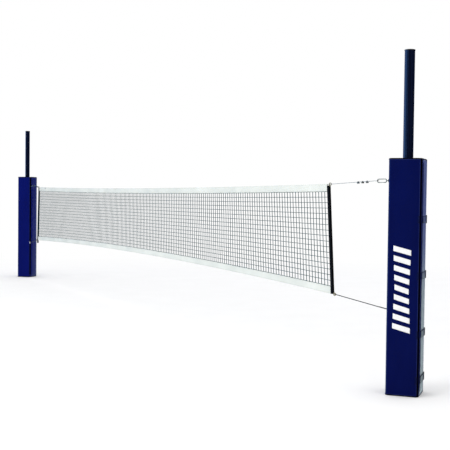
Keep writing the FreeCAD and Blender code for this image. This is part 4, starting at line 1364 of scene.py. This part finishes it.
def top_cable_piece():
    """Six-strand wire rope, plain inside its hem and laid where it shows."""
    parts = [hem_run(False, CABLE_R)]
    tips = bearing_points("snap_hook", HOOK_ROD_R)
    for end, (tip, tail) in enumerate(zip(tips, CABLE_TAILS)):
        path = looped_path(hem_end(end, False), tip, HOOK_ROD_R, CABLE_R, tail)
        parts.append(twisted(path, CABLE_R, WIRE_STRANDS, WIRE_PITCH))
        parts.append(sweep(path, circle(CABLE_R * CORE_SHARE, 5)))
    rope_piece("wire_rope", parts, "line", "line_steel", "top_cable")


def bottom_cord_piece():
    """Three-strand cord with a stopper knot outside each band."""
    parts = [hem_run(True, CORD_R)]
    for end, tip in enumerate(bearing_points("low_eye", EYE_ROD_R)):
        start = hem_end(end, True)
        half = Vector((KNOT_HALF if end else -KNOT_HALF, 0, 0))
        path = looped_path(start, tip, EYE_ROD_R, CORD_R, CORD_TAIL)
        parts.append(twisted(path, CORD_R + CORD_SWELL, CORD_STRANDS, CORD_PITCH, 7))
        parts.append(whipping(start - half, start + half, KNOT_COIL_R, 3, KNOT_CORD_R))
        back = (path[-2] - path[-1]).normalized() * WHIP_LONG
        parts.append(whipping(path[-1], path[-1] + back, CORD_R + WHIP_LIFT, 5, WHIP_CORD_R))
    rope_piece("foot_cord", parts, "bottom_cord", "cord_black", "bottom_cord")


TIE_RING_R = 14.2 * MM
TIE_CORD_R = 1.7 * MM
TIE_ASIDE = 5 * MM
TIE_STEPS = 24
# How far out each tie sits, for the cable's corners (False) and the cord's (True).
TIE_REACH = {False: 37 * MM, True: 12 * MM}


def corner_ties():
    """Pale cord ties beside the brass rings, at the four corners of the net."""
    parts = []
    ring = [Vector((a, 0, b)) for a, b in circle(TIE_RING_R, TIE_STEPS)]
    for end, out in ((0, -1), (1, 1)):
        for cord, reach in TIE_REACH.items():
            centre = hem_end(end, cord) + Vector((out * reach, -TIE_ASIDE, 0))
            loop = [centre + spoke for spoke in ring]
            parts.append(sweep(loop, circle(TIE_CORD_R, 8), up=(0, 1, 0), loop=True))
    rope_piece("corner_ties", parts, "tie", "cord_black")


WINCH_LINE_R = 2.5 * MM
WINCH_LOOP_EASE = 3.9 * MM
WINCH_TAIL = 44 * MM


def winch_line_piece():
    """The wire line from the drum to the hook's eye, with an upright loop."""
    strand = WINCH_LINE_R + TAIL_GAP / 2
    z = middle("winch_snap_hook").z
    rod_x = low_of("winch_snap_hook").x + HOOK_EYE_ROD_R
    loop = teardrop(HOOK_EYE_ROD_R + WINCH_LINE_R + WINCH_LOOP_EASE, strand)
    points = [Vector((middle("winch_drum").x, 0, z))]
    points += [Vector((rod_x + dx, 0, z + dz)) for dx, dz in loop]
    points.append(Vector((rod_x - WINCH_TAIL, 0, z + 2 * strand)))
    line = twisted(cut_corners(points, 1), WINCH_LINE_R, WIRE_STRANDS, WIRE_PITCH)
    rope_piece("winch_wire", [line], "line", "line_steel", "winch_line")


# The eyelet's section from its bore outwards: distance from its axis, and height above the tape's middle.
EYELET_SECTION = ((6.0, 5.4), (8.5, 5.8), (12.0, 5.1), (14.0, 4.1), (12.0, 3.4), (6.0, 3.4))
EYELET_STEPS = 28
EYELET_IN = 340 * MM
EYELET_DOWN = 18 * MM


def eyelet_piece():
    """A dark grommet through the top tape near the winch end."""
    x = TOP_ENDS[0] + BAND + EYELET_IN
    centre = Vector((x, 0, top_edge(x) - EYELET_DOWN))
    outline = [(r * MM, y * MM) for r, y in EYELET_SECTION]
    outline += [(r * MM, -y * MM) for r, y in reversed(EYELET_SECTION)]
    verts = []
    for a, b in circle(1, EYELET_STEPS):
        verts += [centre + Vector((r * a, y, r * b)) for r, y in outline]
    faces = tube_faces(EYELET_STEPS, len(outline), loop=True)
    place(closed_object("tape_eyelet", verts, faces, LOOK["eye_black"]), "net", "eye_black")


# ---- stage ----
CAMERA_AT = (11.212, -4.537, 1.524)
CAMERA_YAW, CAMERA_PITCH, CAMERA_ROLL = (math.radians(a) for a in (-62.7, -1.81, 0.66))
LENS = 73.7888
SENSOR = 36.0
FAR_CLIP = 200


def add_camera():
    """A camera turned by yaw from +Y, then pitched and rolled."""
    data = bpy.data.cameras.new("camera")
    data.sensor_width = SENSOR
    data.lens = LENS
    data.clip_end = FAR_CLIP
    camera = bpy.data.objects.new("camera", data)
    bpy.context.scene.collection.objects.link(camera)
    yaw = Matrix.Rotation(-CAMERA_YAW, 4, "Z")
    level = Matrix.Rotation(math.pi / 2 + CAMERA_PITCH, 4, "X")
    roll = Matrix.Rotation(CAMERA_ROLL, 4, "Z")
    camera.matrix_world = Matrix.Translation(CAMERA_AT) @ yaw @ level @ roll
    bpy.context.scene.camera = camera


KEY_AT = Vector((6.0, -9.0, 5.0))
KEY_AIM = Vector((-2, 0, 1))
KEY_SIZE = (6, 4)
KEY_POWER = 350


def add_key_light():
    """A large soft light beside the camera, left out of reflections."""
    data = bpy.data.lights.new("key", "AREA")
    data.shape = "RECTANGLE"
    data.size, data.size_y = KEY_SIZE
    data.energy = KEY_POWER
    light = bpy.data.objects.new("key", data)
    bpy.context.scene.collection.objects.link(light)
    light.location = KEY_AT
    light.visible_glossy = False
    light.rotation_euler = (KEY_AT - KEY_AIM).to_track_quat("Z", "Y").to_euler()


class Studio(Nodes):
    """The nodes of the studio that surrounds the object."""

    def __init__(self):
        world = bpy.data.worlds.new("studio")
        bpy.context.scene.world = world
        world.use_nodes = True
        super().__init__(world.node_tree)
        self.direction = self.add("ShaderNodeTexCoord").outputs["Generated"]

    def towards(self, azimuth, elevation, low, high):
        """0 to 1 as a direction comes nearer to the given one, between two cosines."""
        turn, rise = math.radians(azimuth), math.radians(elevation)
        level = math.cos(rise)
        aim = (math.cos(turn) * level, math.sin(turn) * level, math.sin(rise))
        dot = self.add("ShaderNodeVectorMath", {0: self.direction, 1: aim}, operation="DOT_PRODUCT")
        return self.between(dot.outputs["Value"], low, high, interpolation_type="SMOOTHSTEP")


WHITE = (1.0, 1.0, 1.0)
GROUND_GLOW = (1.9, 2.3, 2.3)
SKY_GLOW = (0.52, 0.66, 1.4)
DARK_WALL = (0.010, 0.011, 0.018)
SOFTBOX = (0.9, 2.2, 4.2)
CEILING = (0.45, 0.47, 0.52)


def add_world():
    """White to the camera and as light; reflections see a dark side and a bright side."""
    nodes = Studio()
    height = nodes.towards(0, 90, -0.10, -0.05)
    overhead = nodes.towards(0, 90, 0.6, 0.9)
    bright = nodes.mix(height, GROUND_GLOW, SKY_GLOW)
    dark_side = nodes.towards(2, 0, -0.50, -0.40)
    around = nodes.mix(dark_side, bright, DARK_WALL)
    softbox = nodes.towards(-128, 6, 0.85, 0.97)
    around = nodes.mix(softbox, around, SOFTBOX)
    around = nodes.mix(overhead, around, CEILING)
    shiny = nodes.add("ShaderNodeLightPath").outputs["Is Glossy Ray"]
    nodes.link(nodes.mix(shiny, WHITE, around), nodes.tree.nodes["Background"], "Color")


FLOOR_R = 60.0
FLOOR_FADE = (6.4, 11.0)


def add_floor():
    """A pale floor that fades to white with distance."""
    bpy.ops.mesh.primitive_circle_add(vertices=96, radius=FLOOR_R, fill_type="NGON")
    floor = bpy.context.active_object
    floor.name = "floor"
    finish = Finish("floor_pale", (0.93, 0.93, 0.93), 0.8)
    finish.colours(finish.noise(2.0, 3.0), (0.97, 0.97, 0.97), (0.99, 0.99, 0.99))
    finish.value("Specular IOR Level", 0.1)
    length = finish.add("ShaderNodeVectorMath", {0: finish.where}, operation="LENGTH")
    fade = finish.between(length.outputs["Value"], *FLOOR_FADE)
    glow = finish.add("ShaderNodeEmission").outputs[0]
    mix = finish.add("ShaderNodeMixShader", {0: fade, 1: finish.shader.outputs[0], 2: glow})
    finish.link(mix.outputs[0], finish.tree.nodes["Material Output"], "Surface")
    floor.data.materials.append(finish.material)
    floor.visible_glossy = False


def add_stage():
    add_floor()
    add_world()
    add_key_light()
    add_camera()
    bpy.context.scene.view_settings.view_transform = "Standard"


# ---- everything ----
dress_cad_nodes()
BOARDS = simulate_boards()
for side in SIDES:
    outside = pad_pieces(side, BOARDS)
    corner_block(side)
    hinge_strip(side)
    fastenings(side, outside)
    if side == "anchor":
        printed_bars(outside)
net_mesh_piece()
tape_piece("top_tape", top_edge, 1, "net_top_tape")
tape_piece("bottom_tape", low_edge, -1, "net_bottom_tape")
end_band_piece("winch", 0)
end_band_piece("anchor", 1)
top_cable_piece()
bottom_cord_piece()
winch_line_piece()
corner_ties()
eyelet_piece()
add_stage()
